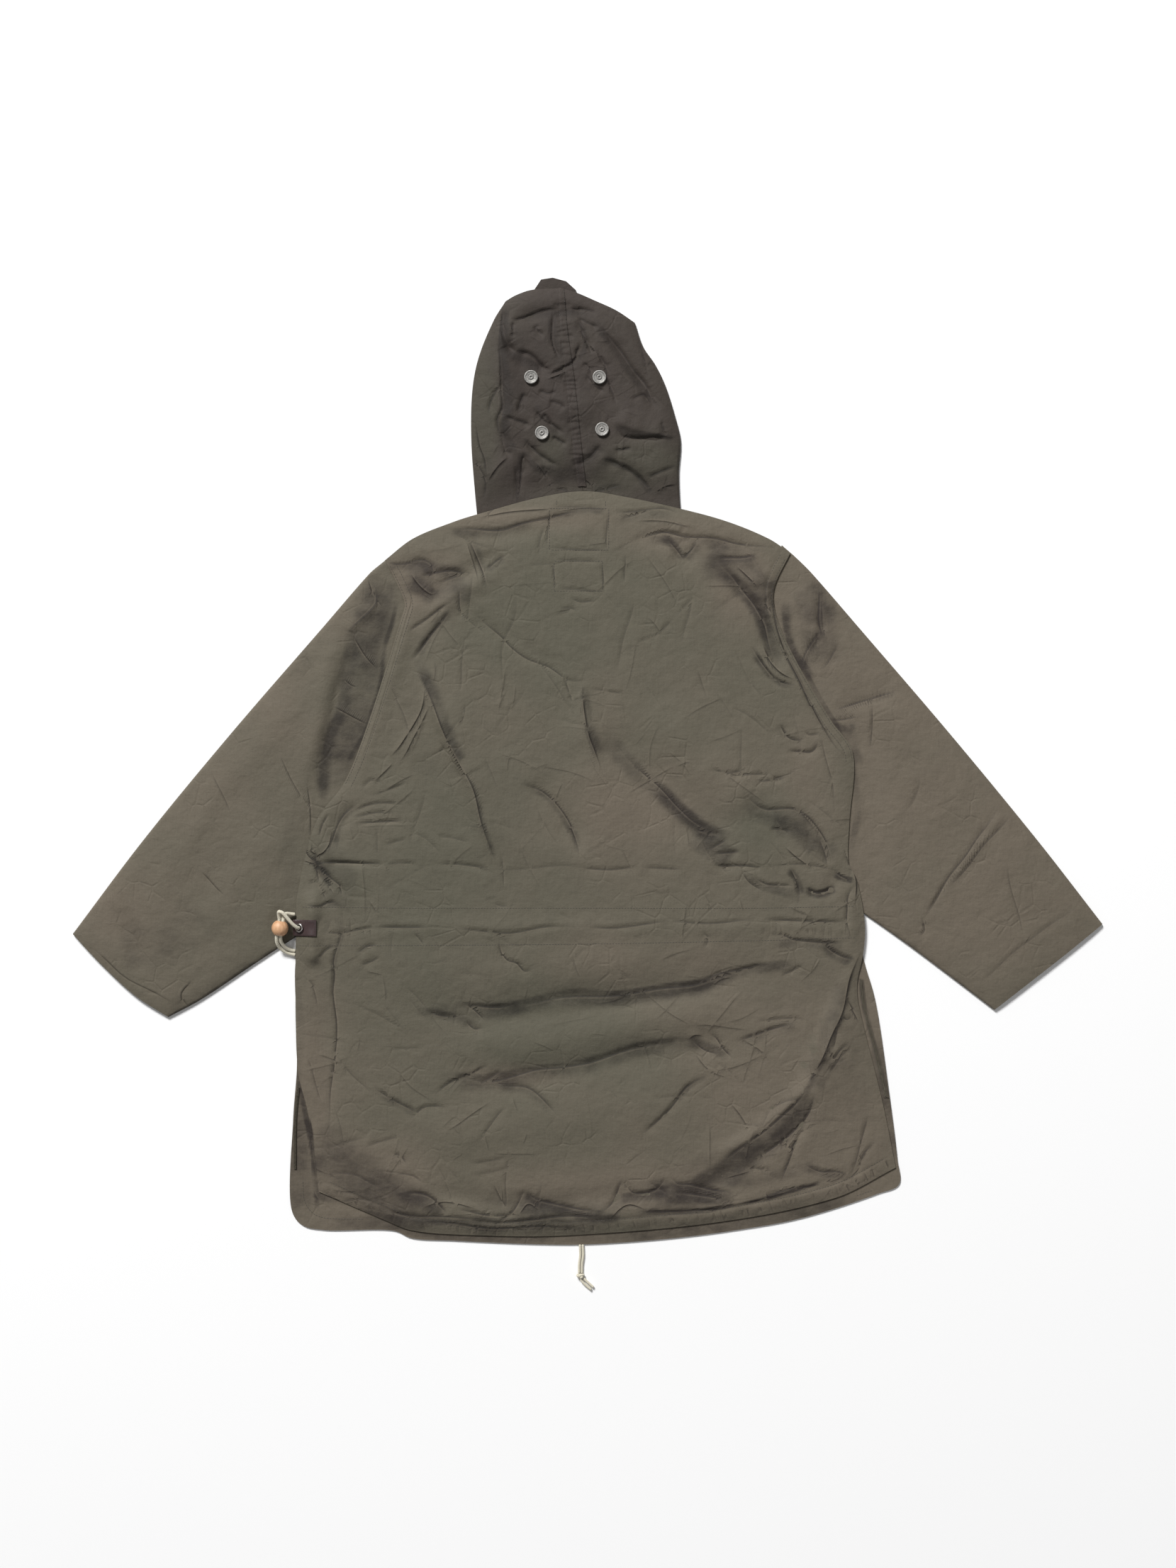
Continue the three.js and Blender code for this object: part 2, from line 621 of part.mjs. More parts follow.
// Waist cord: strand a comes out of the eyelet and strand b out of the channel behind the tab. Both
// pass through the bead and go back in behind the edge of the body.
const WAIST_STRANDS = {
  a: pointsOf("x y z", [
    [-321.4, -186.0, 11.2],
    [-323.6, -185.0, 14.0],
    [-328.4, -180.6, 16.8],
    [-333.4, -174.4, 19.0],
    [-338.2, -168.8, 20.2],
    [-342.4, -167.4, 19.6],
    [-343.0, -171.0, 17.2],
    [-342.6, -176.4, 15.2],
    [-344.1, -185.6, 15.0],
    [-345.6, -194.6, 14.9],
    [-345.6, -202.4, 11.6],
    [-342.0, -209.4, 6.4],
    [-335.4, -214.0, 3.2],
    [-326.8, -216.4, 2.5],
  ]),
  b: pointsOf("x y z", [
    [-326.8, -171.0, 7.4],
    [-331.4, -170.4, 9.0],
    [-335.6, -170.0, 11.4],
    [-338.2, -172.2, 13.8],
    [-338.4, -177.4, 15.0],
    [-339.9, -186.4, 15.0],
    [-341.4, -195.4, 14.8],
    [-340.8, -202.0, 11.4],
    [-337.0, -207.8, 7.0],
    [-332.2, -210.8, 4.2],
    [-326.8, -212.0, 2.8],
  ]),
};

// Hem cord: two strands from the hem to the knot, and a cut tail of each beyond it.
const HEM_CORD_Z = HEM_CORD_RADIUS + 0.15;
const HEM_STRANDS = {
  left: pointsOf("x y", [[-8.6, -540.6], [-8.2, -552], [-9.4, -562], [-9.6, -571.8]]),
  right: pointsOf("x y", [[-5.4, -540.6], [-5.0, -552], [-6.2, -562], [-6.4, -571.8]]),
};
const HEM_TAILS = {
  left: pointsOf("x y", [[-7.8, -578.9], [-4.4, -583.4], [3.7, -590.4]]),
  right: pointsOf("x y", [[-4.4, -578.2], [-0.9, -581.4], [6.2, -587.8]]),
};
const onFloor = (points) => points.map((p) => new THREE.Vector3(p.x, p.y, HEM_CORD_Z));

function knot() {
  const body = new THREE.SphereGeometry(0.5, 14, 9);
  return body.scale(KNOT.width, KNOT.height, KNOT.depth);
}

// The leather tab lies on the back panel and bends down just past its edge.
function tabRows() {
  const onPanel = shares(8).map((s) => TAB.inner + s * (TAB.edge - TAB.inner));
  return shares(4).map((s) => TAB.bottom + s * (TAB.top - TAB.bottom)).map((y) => {
    const row = onPanel.map((x) => new THREE.Vector3(x, y, heightOn(backTop, x, y) + SEAT_GAP));
    const edge = row[row.length - 1];
    row.push(new THREE.Vector3(TAB.edge - TAB_BEND.start, y, edge.z));
    row.push(new THREE.Vector3(TAB.edge - TAB_BEND.reach, y, edge.z - TAB_BEND.drop));
    return row;
  });
}
function tab() {
  const rows = tabRows();
  return wallBetween(raised(rows, TAB.thickness), rows);
}

// A zip: a band of tape and teeth that runs along the edge of a vent, on the front panel.
const ZIP_LINES = {
  left: pointsOf("x y", [[-324.6, -364], [-327.8, -400], [-328.2, -456]]),
  right: pointsOf("x y", [[302.5, -244], [306, -274], [319, -324], [331, -376]]),
};
function zip(side) {
  const { width, thickness } = ZIP;
  const line = curveThrough(ZIP_LINES[side]);
  const rows = shares(12).map((s) => {
    const here = line(s);
    return [0, 1].map((edge) => new THREE.Vector3(here.x + edge * width[side], here.y, FRONT_TOP + SEAM_GAP));
  });
  return wallBetween(raised(rows, thickness), rows);
}

const group = new THREE.Group();
function add(name, geometry, color, { metalness = 0, roughness = 0.85 } = {}) {
  const material = new THREE.MeshStandardMaterial({ color, metalness, roughness });
  const mesh = new THREE.Mesh(geometry, material);
  mesh.name = name;
  group.add(mesh);
  return mesh;
}

add("front_panel", frontPanel(), OLIVE);
add("back_panel", backPanel(), OLIVE);
for (const side of ["left", "right"]) {
  add(`sleeve_${side}`, sleeve(side), OLIVE);
  add(`hood_${side}`, hoodHalf(side), BROWN);
  add(`zip_${side}`, zip(side), METAL, { metalness: 0.6, roughness: 0.5 });
}
add("hood_seam", hoodFell(), BROWN);
add("hood_brim", flatPiece(BRIM_OUTLINE), BROWN);

const BUTTON_PLACES = table("name x y", [
  ["upper_left", -63, 427],
  ["upper_right", 13, 427],
  ["lower_left", -51, 365],
  ["lower_right", 16, 369],
]);
for (const { name, x, y } of BUTTON_PLACES) {
  const button = add(`hood_button_${name}`, tackButton(), METAL, { metalness: 0.8, roughness: 0.45 });
  const side = x < -20 ? "left" : "right";
  const sheet = hoodTop(side);
  const around = shares(12).map((s) => 2 * Math.PI * s).map((angle) =>
    heightOn(sheet, x + BUTTON.radius * Math.cos(angle), y + BUTTON.radius * Math.sin(angle)));
  button.position.set(x, y, Math.max(...around, heightOn(sheet, x, y)) + SEAM_GAP);
}

add("waist_tab", tab(), LEATHER, { roughness: 0.6 });
const eyelet = add("waist_eyelet", new THREE.TorusGeometry(EYELET.radius, EYELET.wire, 8, 20), METAL, {
  metalness: 0.9,
  roughness: 0.35,
});
const seat = seatOn(tabRows(), EYELET.x, EYELET.y, EYELET.radius);
eyelet.position.copy(seat.centre).addScaledVector(seat.up, TAB.thickness + EYELET.wire + SEAT_GAP);
eyelet.quaternion.setFromUnitVectors(new THREE.Vector3(0, 0, 1), seat.up);

const ball = add("cord_bead", bead(), WOOD, { roughness: 0.5 });
ball.position.set(BEAD.x, BEAD.y, BEAD.z);
ball.rotation.z = -BEAD.tilt;
for (const [name, points] of Object.entries(WAIST_STRANDS)) {
  add(`waist_cord_${name}`, cord(points, WAIST_CORD_RADIUS), CORD);
}
for (const side of ["left", "right"]) {
  add(`hem_cord_${side}`, cord(onFloor(HEM_STRANDS[side]), HEM_CORD_RADIUS), CORD);
  add(`hem_tail_${side}`, cord(onFloor(HEM_TAILS[side]), HEM_CORD_RADIUS), CORD);
}
add("hem_knot", knot(), CORD).position.set(KNOT.x, KNOT.y, KNOT.depth / 2 + 0.1);

export default group;
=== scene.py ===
"""Looks of a hooded anorak smock that lies flat with its back up.

Lengths are in millimetres and become metres when a mesh is made. Cord routes are in metres.
X runs across the garment, Y from the hem to the hood, and Z up from the surface below it.
"""

import json
import math
from collections import namedtuple

import bpy
import numpy as np
from mathutils import Vector
from mathutils.bvhtree import BVHTree
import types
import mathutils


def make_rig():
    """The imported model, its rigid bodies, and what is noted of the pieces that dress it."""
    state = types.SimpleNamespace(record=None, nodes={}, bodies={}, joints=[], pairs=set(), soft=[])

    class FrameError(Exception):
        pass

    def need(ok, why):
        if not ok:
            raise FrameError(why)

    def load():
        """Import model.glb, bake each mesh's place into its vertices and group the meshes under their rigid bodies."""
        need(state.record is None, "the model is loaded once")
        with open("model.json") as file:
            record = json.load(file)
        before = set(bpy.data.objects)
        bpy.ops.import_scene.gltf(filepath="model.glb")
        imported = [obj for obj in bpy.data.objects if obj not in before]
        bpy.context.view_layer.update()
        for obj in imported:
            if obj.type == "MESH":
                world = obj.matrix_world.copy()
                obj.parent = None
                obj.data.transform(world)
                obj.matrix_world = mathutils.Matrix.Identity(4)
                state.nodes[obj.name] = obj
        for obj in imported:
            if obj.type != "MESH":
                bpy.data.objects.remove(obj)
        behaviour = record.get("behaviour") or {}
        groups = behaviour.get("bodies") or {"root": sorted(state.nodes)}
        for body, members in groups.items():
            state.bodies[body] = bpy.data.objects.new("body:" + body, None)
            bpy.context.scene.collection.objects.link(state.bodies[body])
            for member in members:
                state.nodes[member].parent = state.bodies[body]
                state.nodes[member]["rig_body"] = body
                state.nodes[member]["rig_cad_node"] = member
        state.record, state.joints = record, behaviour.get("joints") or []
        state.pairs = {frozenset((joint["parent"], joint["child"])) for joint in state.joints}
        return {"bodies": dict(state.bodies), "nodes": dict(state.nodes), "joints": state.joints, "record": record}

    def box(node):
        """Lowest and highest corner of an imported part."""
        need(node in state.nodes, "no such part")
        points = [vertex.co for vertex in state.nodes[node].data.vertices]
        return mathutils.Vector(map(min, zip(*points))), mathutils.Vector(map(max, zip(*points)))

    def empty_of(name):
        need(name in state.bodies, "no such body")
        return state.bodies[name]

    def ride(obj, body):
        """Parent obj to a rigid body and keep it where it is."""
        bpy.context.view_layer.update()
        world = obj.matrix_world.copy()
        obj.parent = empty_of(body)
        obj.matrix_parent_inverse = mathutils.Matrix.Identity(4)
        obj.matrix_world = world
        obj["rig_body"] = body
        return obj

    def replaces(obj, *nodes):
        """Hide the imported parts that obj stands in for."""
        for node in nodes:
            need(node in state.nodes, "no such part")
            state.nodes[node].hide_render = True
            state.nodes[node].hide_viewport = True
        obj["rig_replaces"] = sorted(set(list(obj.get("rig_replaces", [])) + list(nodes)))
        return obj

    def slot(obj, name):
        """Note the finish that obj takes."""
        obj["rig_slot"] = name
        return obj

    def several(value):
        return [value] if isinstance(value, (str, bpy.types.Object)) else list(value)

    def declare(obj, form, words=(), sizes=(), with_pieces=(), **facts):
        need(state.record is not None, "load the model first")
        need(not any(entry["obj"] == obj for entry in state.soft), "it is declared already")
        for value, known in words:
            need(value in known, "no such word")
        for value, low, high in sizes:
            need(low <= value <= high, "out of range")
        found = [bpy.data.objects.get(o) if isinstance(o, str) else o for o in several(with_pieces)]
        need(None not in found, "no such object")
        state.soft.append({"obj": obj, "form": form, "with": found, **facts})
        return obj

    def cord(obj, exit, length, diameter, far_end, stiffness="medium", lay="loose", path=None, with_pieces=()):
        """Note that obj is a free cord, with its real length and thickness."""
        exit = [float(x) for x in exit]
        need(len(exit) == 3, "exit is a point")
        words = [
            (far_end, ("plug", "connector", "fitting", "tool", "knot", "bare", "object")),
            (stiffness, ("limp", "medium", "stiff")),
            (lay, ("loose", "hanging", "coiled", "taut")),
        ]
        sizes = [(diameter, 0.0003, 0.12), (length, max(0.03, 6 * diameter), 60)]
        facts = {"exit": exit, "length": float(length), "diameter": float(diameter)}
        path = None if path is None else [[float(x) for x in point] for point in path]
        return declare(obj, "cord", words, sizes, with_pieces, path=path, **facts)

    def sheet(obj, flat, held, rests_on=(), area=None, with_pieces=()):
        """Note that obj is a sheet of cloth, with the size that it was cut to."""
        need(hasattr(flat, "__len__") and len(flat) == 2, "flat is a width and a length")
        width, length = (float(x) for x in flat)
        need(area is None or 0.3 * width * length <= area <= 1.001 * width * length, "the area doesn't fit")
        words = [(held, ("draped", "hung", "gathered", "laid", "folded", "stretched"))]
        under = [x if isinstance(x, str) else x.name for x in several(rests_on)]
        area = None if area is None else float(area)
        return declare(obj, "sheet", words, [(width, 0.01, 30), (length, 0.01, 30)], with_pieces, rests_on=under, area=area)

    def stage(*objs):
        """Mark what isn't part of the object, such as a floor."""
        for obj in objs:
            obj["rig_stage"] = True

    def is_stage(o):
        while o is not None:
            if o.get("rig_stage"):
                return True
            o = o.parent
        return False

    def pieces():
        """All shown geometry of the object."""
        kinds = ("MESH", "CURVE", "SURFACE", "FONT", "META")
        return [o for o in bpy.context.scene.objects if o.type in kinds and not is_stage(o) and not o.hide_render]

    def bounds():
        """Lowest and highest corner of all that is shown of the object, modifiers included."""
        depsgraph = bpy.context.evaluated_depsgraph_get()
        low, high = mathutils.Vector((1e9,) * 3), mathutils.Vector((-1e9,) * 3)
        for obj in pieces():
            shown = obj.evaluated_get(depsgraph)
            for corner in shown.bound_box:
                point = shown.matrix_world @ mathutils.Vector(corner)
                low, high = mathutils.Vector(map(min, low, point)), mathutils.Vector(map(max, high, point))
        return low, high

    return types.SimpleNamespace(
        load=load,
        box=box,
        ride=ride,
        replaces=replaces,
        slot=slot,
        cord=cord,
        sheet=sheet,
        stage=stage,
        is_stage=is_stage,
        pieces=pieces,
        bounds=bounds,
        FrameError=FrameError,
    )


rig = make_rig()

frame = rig.load()
cad_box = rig.bounds()

BODY = "root"
MM = 0.001
TURN = 2 * math.pi

# Camera: straight above, framed as in the photograph
PHOTO_PIXELS = (1659, 2212)
PIXEL = 0.79 * MM
CAMERA_HEIGHT = 2.6
CLOTH_HEIGHT = 0.008
FRAME_CENTRE = (0.4 * MM, -25.7 * MM)
SENSOR = 36.0

camera_data = bpy.data.cameras.new("camera")
camera_data.sensor_width = SENSOR
camera_data.lens = SENSOR * (CAMERA_HEIGHT - CLOTH_HEIGHT) / (max(PHOTO_PIXELS) * PIXEL)
camera_data.clip_end = 20
camera = bpy.data.objects.new("camera", camera_data)
camera.location = (*FRAME_CENTRE, CAMERA_HEIGHT)
bpy.context.scene.collection.objects.link(camera)
bpy.context.scene.camera = camera


# Curves, panels and folds

def ease(share):
    s = np.clip(share, 0, 1)
    return s * s * (3 - 2 * s)


def steps_of(points):
    """The distances from each point of a row to the next one."""
    return np.linalg.norm(np.diff(points, axis=0), axis=1)


def lengths_along(points):
    """How far along a row of points each of them is."""
    return np.concatenate([[0], np.cumsum(steps_of(points))])


def curve_through(points):
    """A smooth curve through a row of points, taken by its share of the whole length."""
    points = np.asarray(points, float)
    stations = lengths_along(points)
    last = len(points) - 1
    before = np.maximum(np.arange(last + 1) - 1, 0)
    after = np.minimum(np.arange(last + 1) + 1, last)
    slopes = (points[after] - points[before]) / (stations[after] - stations[before])[:, None]

    def at(share):
        along = np.asarray(share, float) * stations[-1]
        i = np.clip(np.searchsorted(stations, along) - 1, 0, last - 1)
        step = (stations[i + 1] - stations[i])[..., None]
        w = (along - stations[i])[..., None] / step
        return (
            points[i] * (1 + 2 * w) * (1 - w) ** 2
            + slopes[i] * step * w * (1 - w) ** 2
            + points[i + 1] * w * w * (3 - 2 * w)
            - slopes[i + 1] * step * w * w * (1 - w)
        )

    return at


def panel_between(start, end, left, right):
    """A panel held by four edge curves: u runs across it from left to right, v along it."""
    at_start, at_end, at_left, at_right = map(curve_through, (start, end, left, right))

    def at(u, v):
        across, along = u[..., None], v[..., None]
        return (
            at_start(u) * (1 - along)
            + at_end(u) * along
            + at_left(v) * (1 - across)
            + at_right(v) * across
            - at_start(0.0) * (1 - across) * (1 - along)
            - at_start(1.0) * across * (1 - along)
            - at_end(0.0) * (1 - across) * along
            - at_end(1.0) * across * along
        )

    return at


def roll_up(distance):
    """How far the cloth has risen from a rounded edge, at a distance from that edge."""
    roll = 14.0
    return 1 - np.exp(-np.maximum(distance, 0) / roll)


def soft_floor(height):
    """The height where it is above zero, and near zero where it is below."""
    softness = 0.35
    return 0.5 * (height + np.sqrt(height**2 + 4 * softness**2))


LIGHT_FROM = np.array([-0.45, 0.9])
Fold = namedtuple("Fold", "height reach steep sharp line")


def fold(height, reach, steep, *line):
    """A soft ridge, or a trough below zero. steep is its share of reach on the line's right side."""
    return Fold(height, reach, steep, False, line)


def crease(height, reach, *line, gentle=2.4):
    """A sharp ridge, or a groove below zero.

    The wall that turns from the light has the reach; the other one has gentle times as much.
    """
    return Fold(height, reach, gentle, True, line)


def line_of(points, spans=5):
    """The points again, with a smooth curve's points between them."""
    points = np.asarray(points, float)
    if len(points) < 3:
        return points
    return curve_through(points)(np.linspace(0, 1, spans * (len(points) - 1) + 1))


def beside_line(line, x, y):
    """Each place's distance from a line, its side of it and its share along it.

    There are two kinds of side: left as walked is positive, and so is toward the light.
    """
    distance = np.full(x.shape, np.inf)
    side = np.ones(x.shape)
    lit = np.ones(x.shape)
    along = np.zeros(x.shape)
    for i in range(len(line) - 1):
        x0, y0 = line[i, :2]
        dx, dy = line[i + 1, :2] - line[i, :2]
        share = np.clip(((x - x0) * dx + (y - y0) * dy) / (dx * dx + dy * dy), 0, 1)
        away = np.hypot(x - x0 - share * dx, y - y0 - share * dy)
        closer = away < distance
        distance[closer] = away[closer]
        side[closer] = np.sign(dx * (y - y0) - dy * (x - x0))[closer]
        lit[closer] = side[closer] * np.sign(LIGHT_FROM.dot((-dy, dx)))
        along[closer] = ((i + share) / (len(line) - 1))[closer]
    return distance, side, lit, along


def near_line(line, margin, x, y):
    """Indices of the places inside a line's box with a margin round it."""
    low, high = line.min(0) - margin, line.max(0) + margin
    return np.nonzero((x > low[0]) & (x < high[0]) & (y > low[1]) & (y < high[1]))


def fold_height(one, x, y):
    """The height that one fold adds at each place."""
    line = line_of(one.line)
    near = near_line(line, 3 * one.reach * max(one.steep, 1), x, y)
    added = np.zeros(x.shape)
    if not near[0].size:
        return added
    distance, side, lit, along = beside_line(line, x[near], y[near])
    if one.sharp:
        side = lit * np.sign(one.height)
        width = np.where(side < 0, one.reach, one.reach * one.steep)
    else:
        width = np.where(side < 0, one.reach * one.steep, one.reach)
    taper = ease(along / 0.25) * ease((1 - along) / 0.25)
    uneven = 1 + 0.16 * np.sin(along * 9 + line[0, 0]) + 0.1 * np.sin(along * 23 + line[0, 1])
    if one.sharp:
        blunt = 0.7
        profile = np.exp(-1.9 * (np.hypot(distance, blunt) - blunt) / width)
    else:
        profile = np.exp(-1.6 * (distance / width) ** 2)
    added[near] = one.height * taper * uneven * profile
    return added


def wobbled(x, y):
    """The places again, moved a little so that no fold runs quite straight."""
    moved_x = x + 1.5 * np.sin(y / 19 + 1.3) + 0.8 * np.sin(x / 11 + y / 13)
    moved_y = y + 1.4 * np.sin(x / 21 + 0.4) + 0.8 * np.sin(y / 12 - x / 15)
    return moved_x, moved_y


def folds_height(folds, x, y):
    return sum((fold_height(one, x, y) for one in folds), np.zeros(x.shape))


def crease_lines(folds, x, y):
    """How far each place is from the nearest crease, positive on its wall, and that line's strength."""
    reach = 9.0
    full_height = 1.3
    nearest = np.full(x.shape, reach)
    wall = np.full(x.shape, reach)
    strength = np.zeros(x.shape)
    for one in folds:
        if not one.sharp:
            continue
        line = line_of(one.line)
        near = near_line(line, reach, x, y)
        if not near[0].size:
            continue
        distance, _, lit, along = beside_line(line, x[near], y[near])
        closer = distance < nearest[near]
        near = tuple(index[closer] for index in near)
        distance, lit, along = distance[closer], lit[closer], along[closer]
        nearest[near] = distance
        wall[near] = -distance * lit * np.sign(one.height)
        taper = ease(along / 0.3) * ease((1 - along) / 0.3)
        drawn = np.minimum(abs(one.height) / full_height, 1)
        strength[near] = drawn * taper * np.clip(1.6 - distance / 3, 0, 1)
    return {"wall": wall, "line": strength}


def scattered(seed, count, low, high, length, height, reach):
    """Small chance creases, spread over a box."""
    draw = np.random.default_rng(seed)
    made = []
    for _ in range(count):
        centre = draw.uniform(low, high)
        angle = draw.uniform(0, math.pi)
        half = draw.uniform(*length) / 2
        direction = np.array([math.cos(angle), math.sin(angle)])
        across = np.array([-direction[1], direction[0]]) * draw.uniform(-0.12, 0.12) * half
        line = [centre - half * direction, centre + across, centre + half * direction]
        size = draw.uniform(*height) * draw.choice([-1, 1])
        made.append(crease(size, draw.uniform(*reach), *line))
    return made


def puckers(seed, line, spacing, size, height, reach):
    """Short creases across a seam, unevenly spaced along it."""
    draw = np.random.default_rng(seed)
    at = curve_through(line)
    length = steps_of(line_of(line)).sum()
    made, along = [], 0.0
    while along < length:
        here = at(along / length)
        ahead = at(min(along / length + 0.01, 1)) - at(max(along / length - 0.01, 0))
        direction = ahead / np.linalg.norm(ahead)
        across = np.array([-direction[1], direction[0]])
        tilt = direction * draw.uniform(-0.25, 0.25)
        half = draw.uniform(*size) / 2
        ends = [here - half * (across + tilt), here + half * (across + tilt)]
        made.append(crease(-draw.uniform(*height), draw.uniform(*reach), *ends))
        along += draw.uniform(*spacing)
    return made


# Meshes

def new_object(name, vertices, faces, smooth_angle=50):
    mesh = bpy.data.meshes.new(name)
    mesh.from_pydata((np.asarray(vertices) * MM).tolist(), [], faces)
    mesh.validate()
    mesh.shade_smooth()
    mesh.set_sharp_from_angle(angle=math.radians(smooth_angle))
    made = bpy.data.objects.new(name, mesh)
    bpy.context.scene.collection.objects.link(made)
    return made


def piece(made, material, slot, *replaced):
    """Gives a piece its finish, its body and the solids that it stands for."""
    made.data.materials.append(material)
    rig.ride(made, BODY)
    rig.slot(made, slot)
    if replaced:
        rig.replaces(made, *replaced)
    return made


def paint(made, **layers):
    """Stores one number for each vertex under each name. Vertices past the list get its mean."""
    count = len(made.data.vertices)
    for name, numbers in layers.items():
        full = np.full(count, float(np.mean(numbers)))
        full[: numbers.size] = numbers.ravel()
        layer = made.data.attributes.new(name, "FLOAT", "POINT")
        layer.data.foreach_set("value", full.astype(np.float32))


def closed_shell(name, outer, inner, coarse=6, ring=False):
    """A closed wall of cloth: a fine outer sheet, and an inner one that is fine only at its rim.

    Both are rows of points. Where the rows are rings, each closes on itself.
    """
    rows, columns = outer.shape[:2]
    last_row, last_column = rows - 1, columns - 1
    keep_row = (np.arange(rows) % coarse == 0) | (np.arange(rows) == last_row)
    keep_column = (np.arange(columns) % coarse == 0) | (np.arange(columns) == last_column)
    row_rim = np.isin(np.arange(rows), (0, last_row))
    column_rim = np.isin(np.arange(columns), (0, last_column)) & (not ring)
    kept = (keep_row[:, None] & keep_column[None, :]) | row_rim[:, None] | column_rim[None, :]
    inner_id = np.full((rows, columns), -1)
    inner_id[kept] = rows * columns + np.arange(kept.sum())
    outer_id = np.arange(rows * columns).reshape(rows, columns)

    across = columns if ring else columns - 1
    i, j = np.meshgrid(np.arange(rows - 1), np.arange(across), indexing="ij")
    k = (j + 1) % columns
    corners = (outer_id[i, j], outer_id[i, k], outer_id[i + 1, k], outer_id[i + 1, j])
    faces = np.stack(corners, axis=-1).reshape(-1, 4).tolist()

    row_stops = np.flatnonzero(keep_row)
    column_stops = np.flatnonzero(keep_column)
    spans = [(int(a), int(b)) for a, b in zip(column_stops, column_stops[1:])]
    if ring:
        spans.append((int(column_stops[-1]), 0))
    for top, bottom in zip(row_stops, row_stops[1:]):
        for left, right in spans:
            between = range(left, right + 1) if right > left else (left, right)
            loop = [(top, column) for column in between]
            loop += [(row, right) for row in range(top + 1, bottom + 1)]
            loop += [(bottom, column) for column in reversed(list(between)[:-1])]
            loop += [(row, left) for row in range(bottom - 1, top, -1)]
            face = [int(inner_id[row, column]) for row, column in loop]
            faces.append([corner for corner in face if corner >= 0][::-1])

    def wall(first, second):
        for a, b in zip(first, second):
            faces.append([int(outer_id[b]), int(outer_id[a]), int(inner_id[a]), int(inner_id[b])])

    stations = list(range(columns)) + ([0] if ring else [])
    wall([(0, c) for c in stations], [(0, c) for c in stations[1:]])
    wall([(last_row, c) for c in stations[1:]], [(last_row, c) for c in stations])
    if not ring:
        wall([(r, 0) for r in range(1, rows)], [(r, 0) for r in range(rows)])
        wall([(r, last_column) for r in range(rows)], [(r, last_column) for r in range(1, rows)])
    vertices = np.concatenate([outer.reshape(-1, 3), inner[kept]])
    return new_object(name, vertices, faces)


def flat_shell(name, outline, centre, insets, top, thickness):
    """A closed shell with an outline, made of rings that step in from it by the insets."""
    toward = centre - outline
    toward /= np.linalg.norm(toward, axis=1)[:, None]
    rings = np.array([outline + inset * toward for inset in insets])
    upper = np.dstack([rings, top(rings[..., 0], rings[..., 1])])
    lower = np.dstack([rings, np.zeros(rings.shape[:2])])
    lower[..., 2] = upper[..., 2].min() - thickness
    count = len(outline)
    vertices = np.concatenate([upper.reshape(-1, 3), lower[0], lower[-1]])
    faces = []
    for ring in range(len(insets) - 1):
        for j in range(count):
            k = (j + 1) % count
            a, b = ring * count + j, ring * count + k
            faces.append([a, b, b + count, a + count])
    top_rim = (len(insets) - 1) * count
    below = len(insets) * count
    faces.append([top_rim + j for j in range(count)])
    faces.append([below + count + j for j in range(count)][::-1])
    for j in range(count):
        k = (j + 1) % count
        faces.append([k, j, below + j, below + k])
        faces.append([below + k, below + j, below + count + j, below + count + k])
    return new_object(name, vertices, faces)


def turned(profile, sides):
    """Points and faces of a body turned about Z; the profile starts and ends on the axis or closes."""
    profile = np.asarray(profile, float)
    closes = np.allclose(profile[0], profile[-1])
    ring = profile[:-1] if closes else profile[1:-1]
    angles = np.linspace(0, TURN, sides, endpoint=False)
    points = [
        (r * math.cos(angle), r * math.sin(angle), z) for r, z in ring for angle in angles
    ]
    faces = []
    steps = len(ring) if closes else len(ring) - 1
    for i in range(steps):
        a, b = i * sides, (i + 1) % len(ring) * sides
        for j in range(sides):
            k = (j + 1) % sides
            faces.append([a + j, a + k, b + k, b + j])
    if not closes:
        points += [(0, 0, profile[0][1]), (0, 0, profile[-1][1])]
        first, last = len(points) - 2, len(points) - 1
        top = (len(ring) - 1) * sides
        for j in range(sides):
            k = (j + 1) % sides
            faces.append([k, j, first])
            faces.append([top + j, top + k, last])
    return np.array(points), faces


def frames_along(path):
    """Directions, and two steady directions across, at each point of a path."""
    direction = np.gradient(path, axis=0)
    direction /= np.linalg.norm(direction, axis=1)[:, None]
    first = np.cross(direction[0], (0.0, 0.0, 1.0))
    if np.linalg.norm(first) < 0.1:
        first = np.cross(direction[0], (1.0, 0.0, 0.0))
    across = [first / np.linalg.norm(first)]
    for ahead in direction[1:]:
        moved = across[-1] - ahead * across[-1].dot(ahead)
        across.append(moved / np.linalg.norm(moved))
    across = np.array(across)
    return direction, across, np.cross(direction, across)


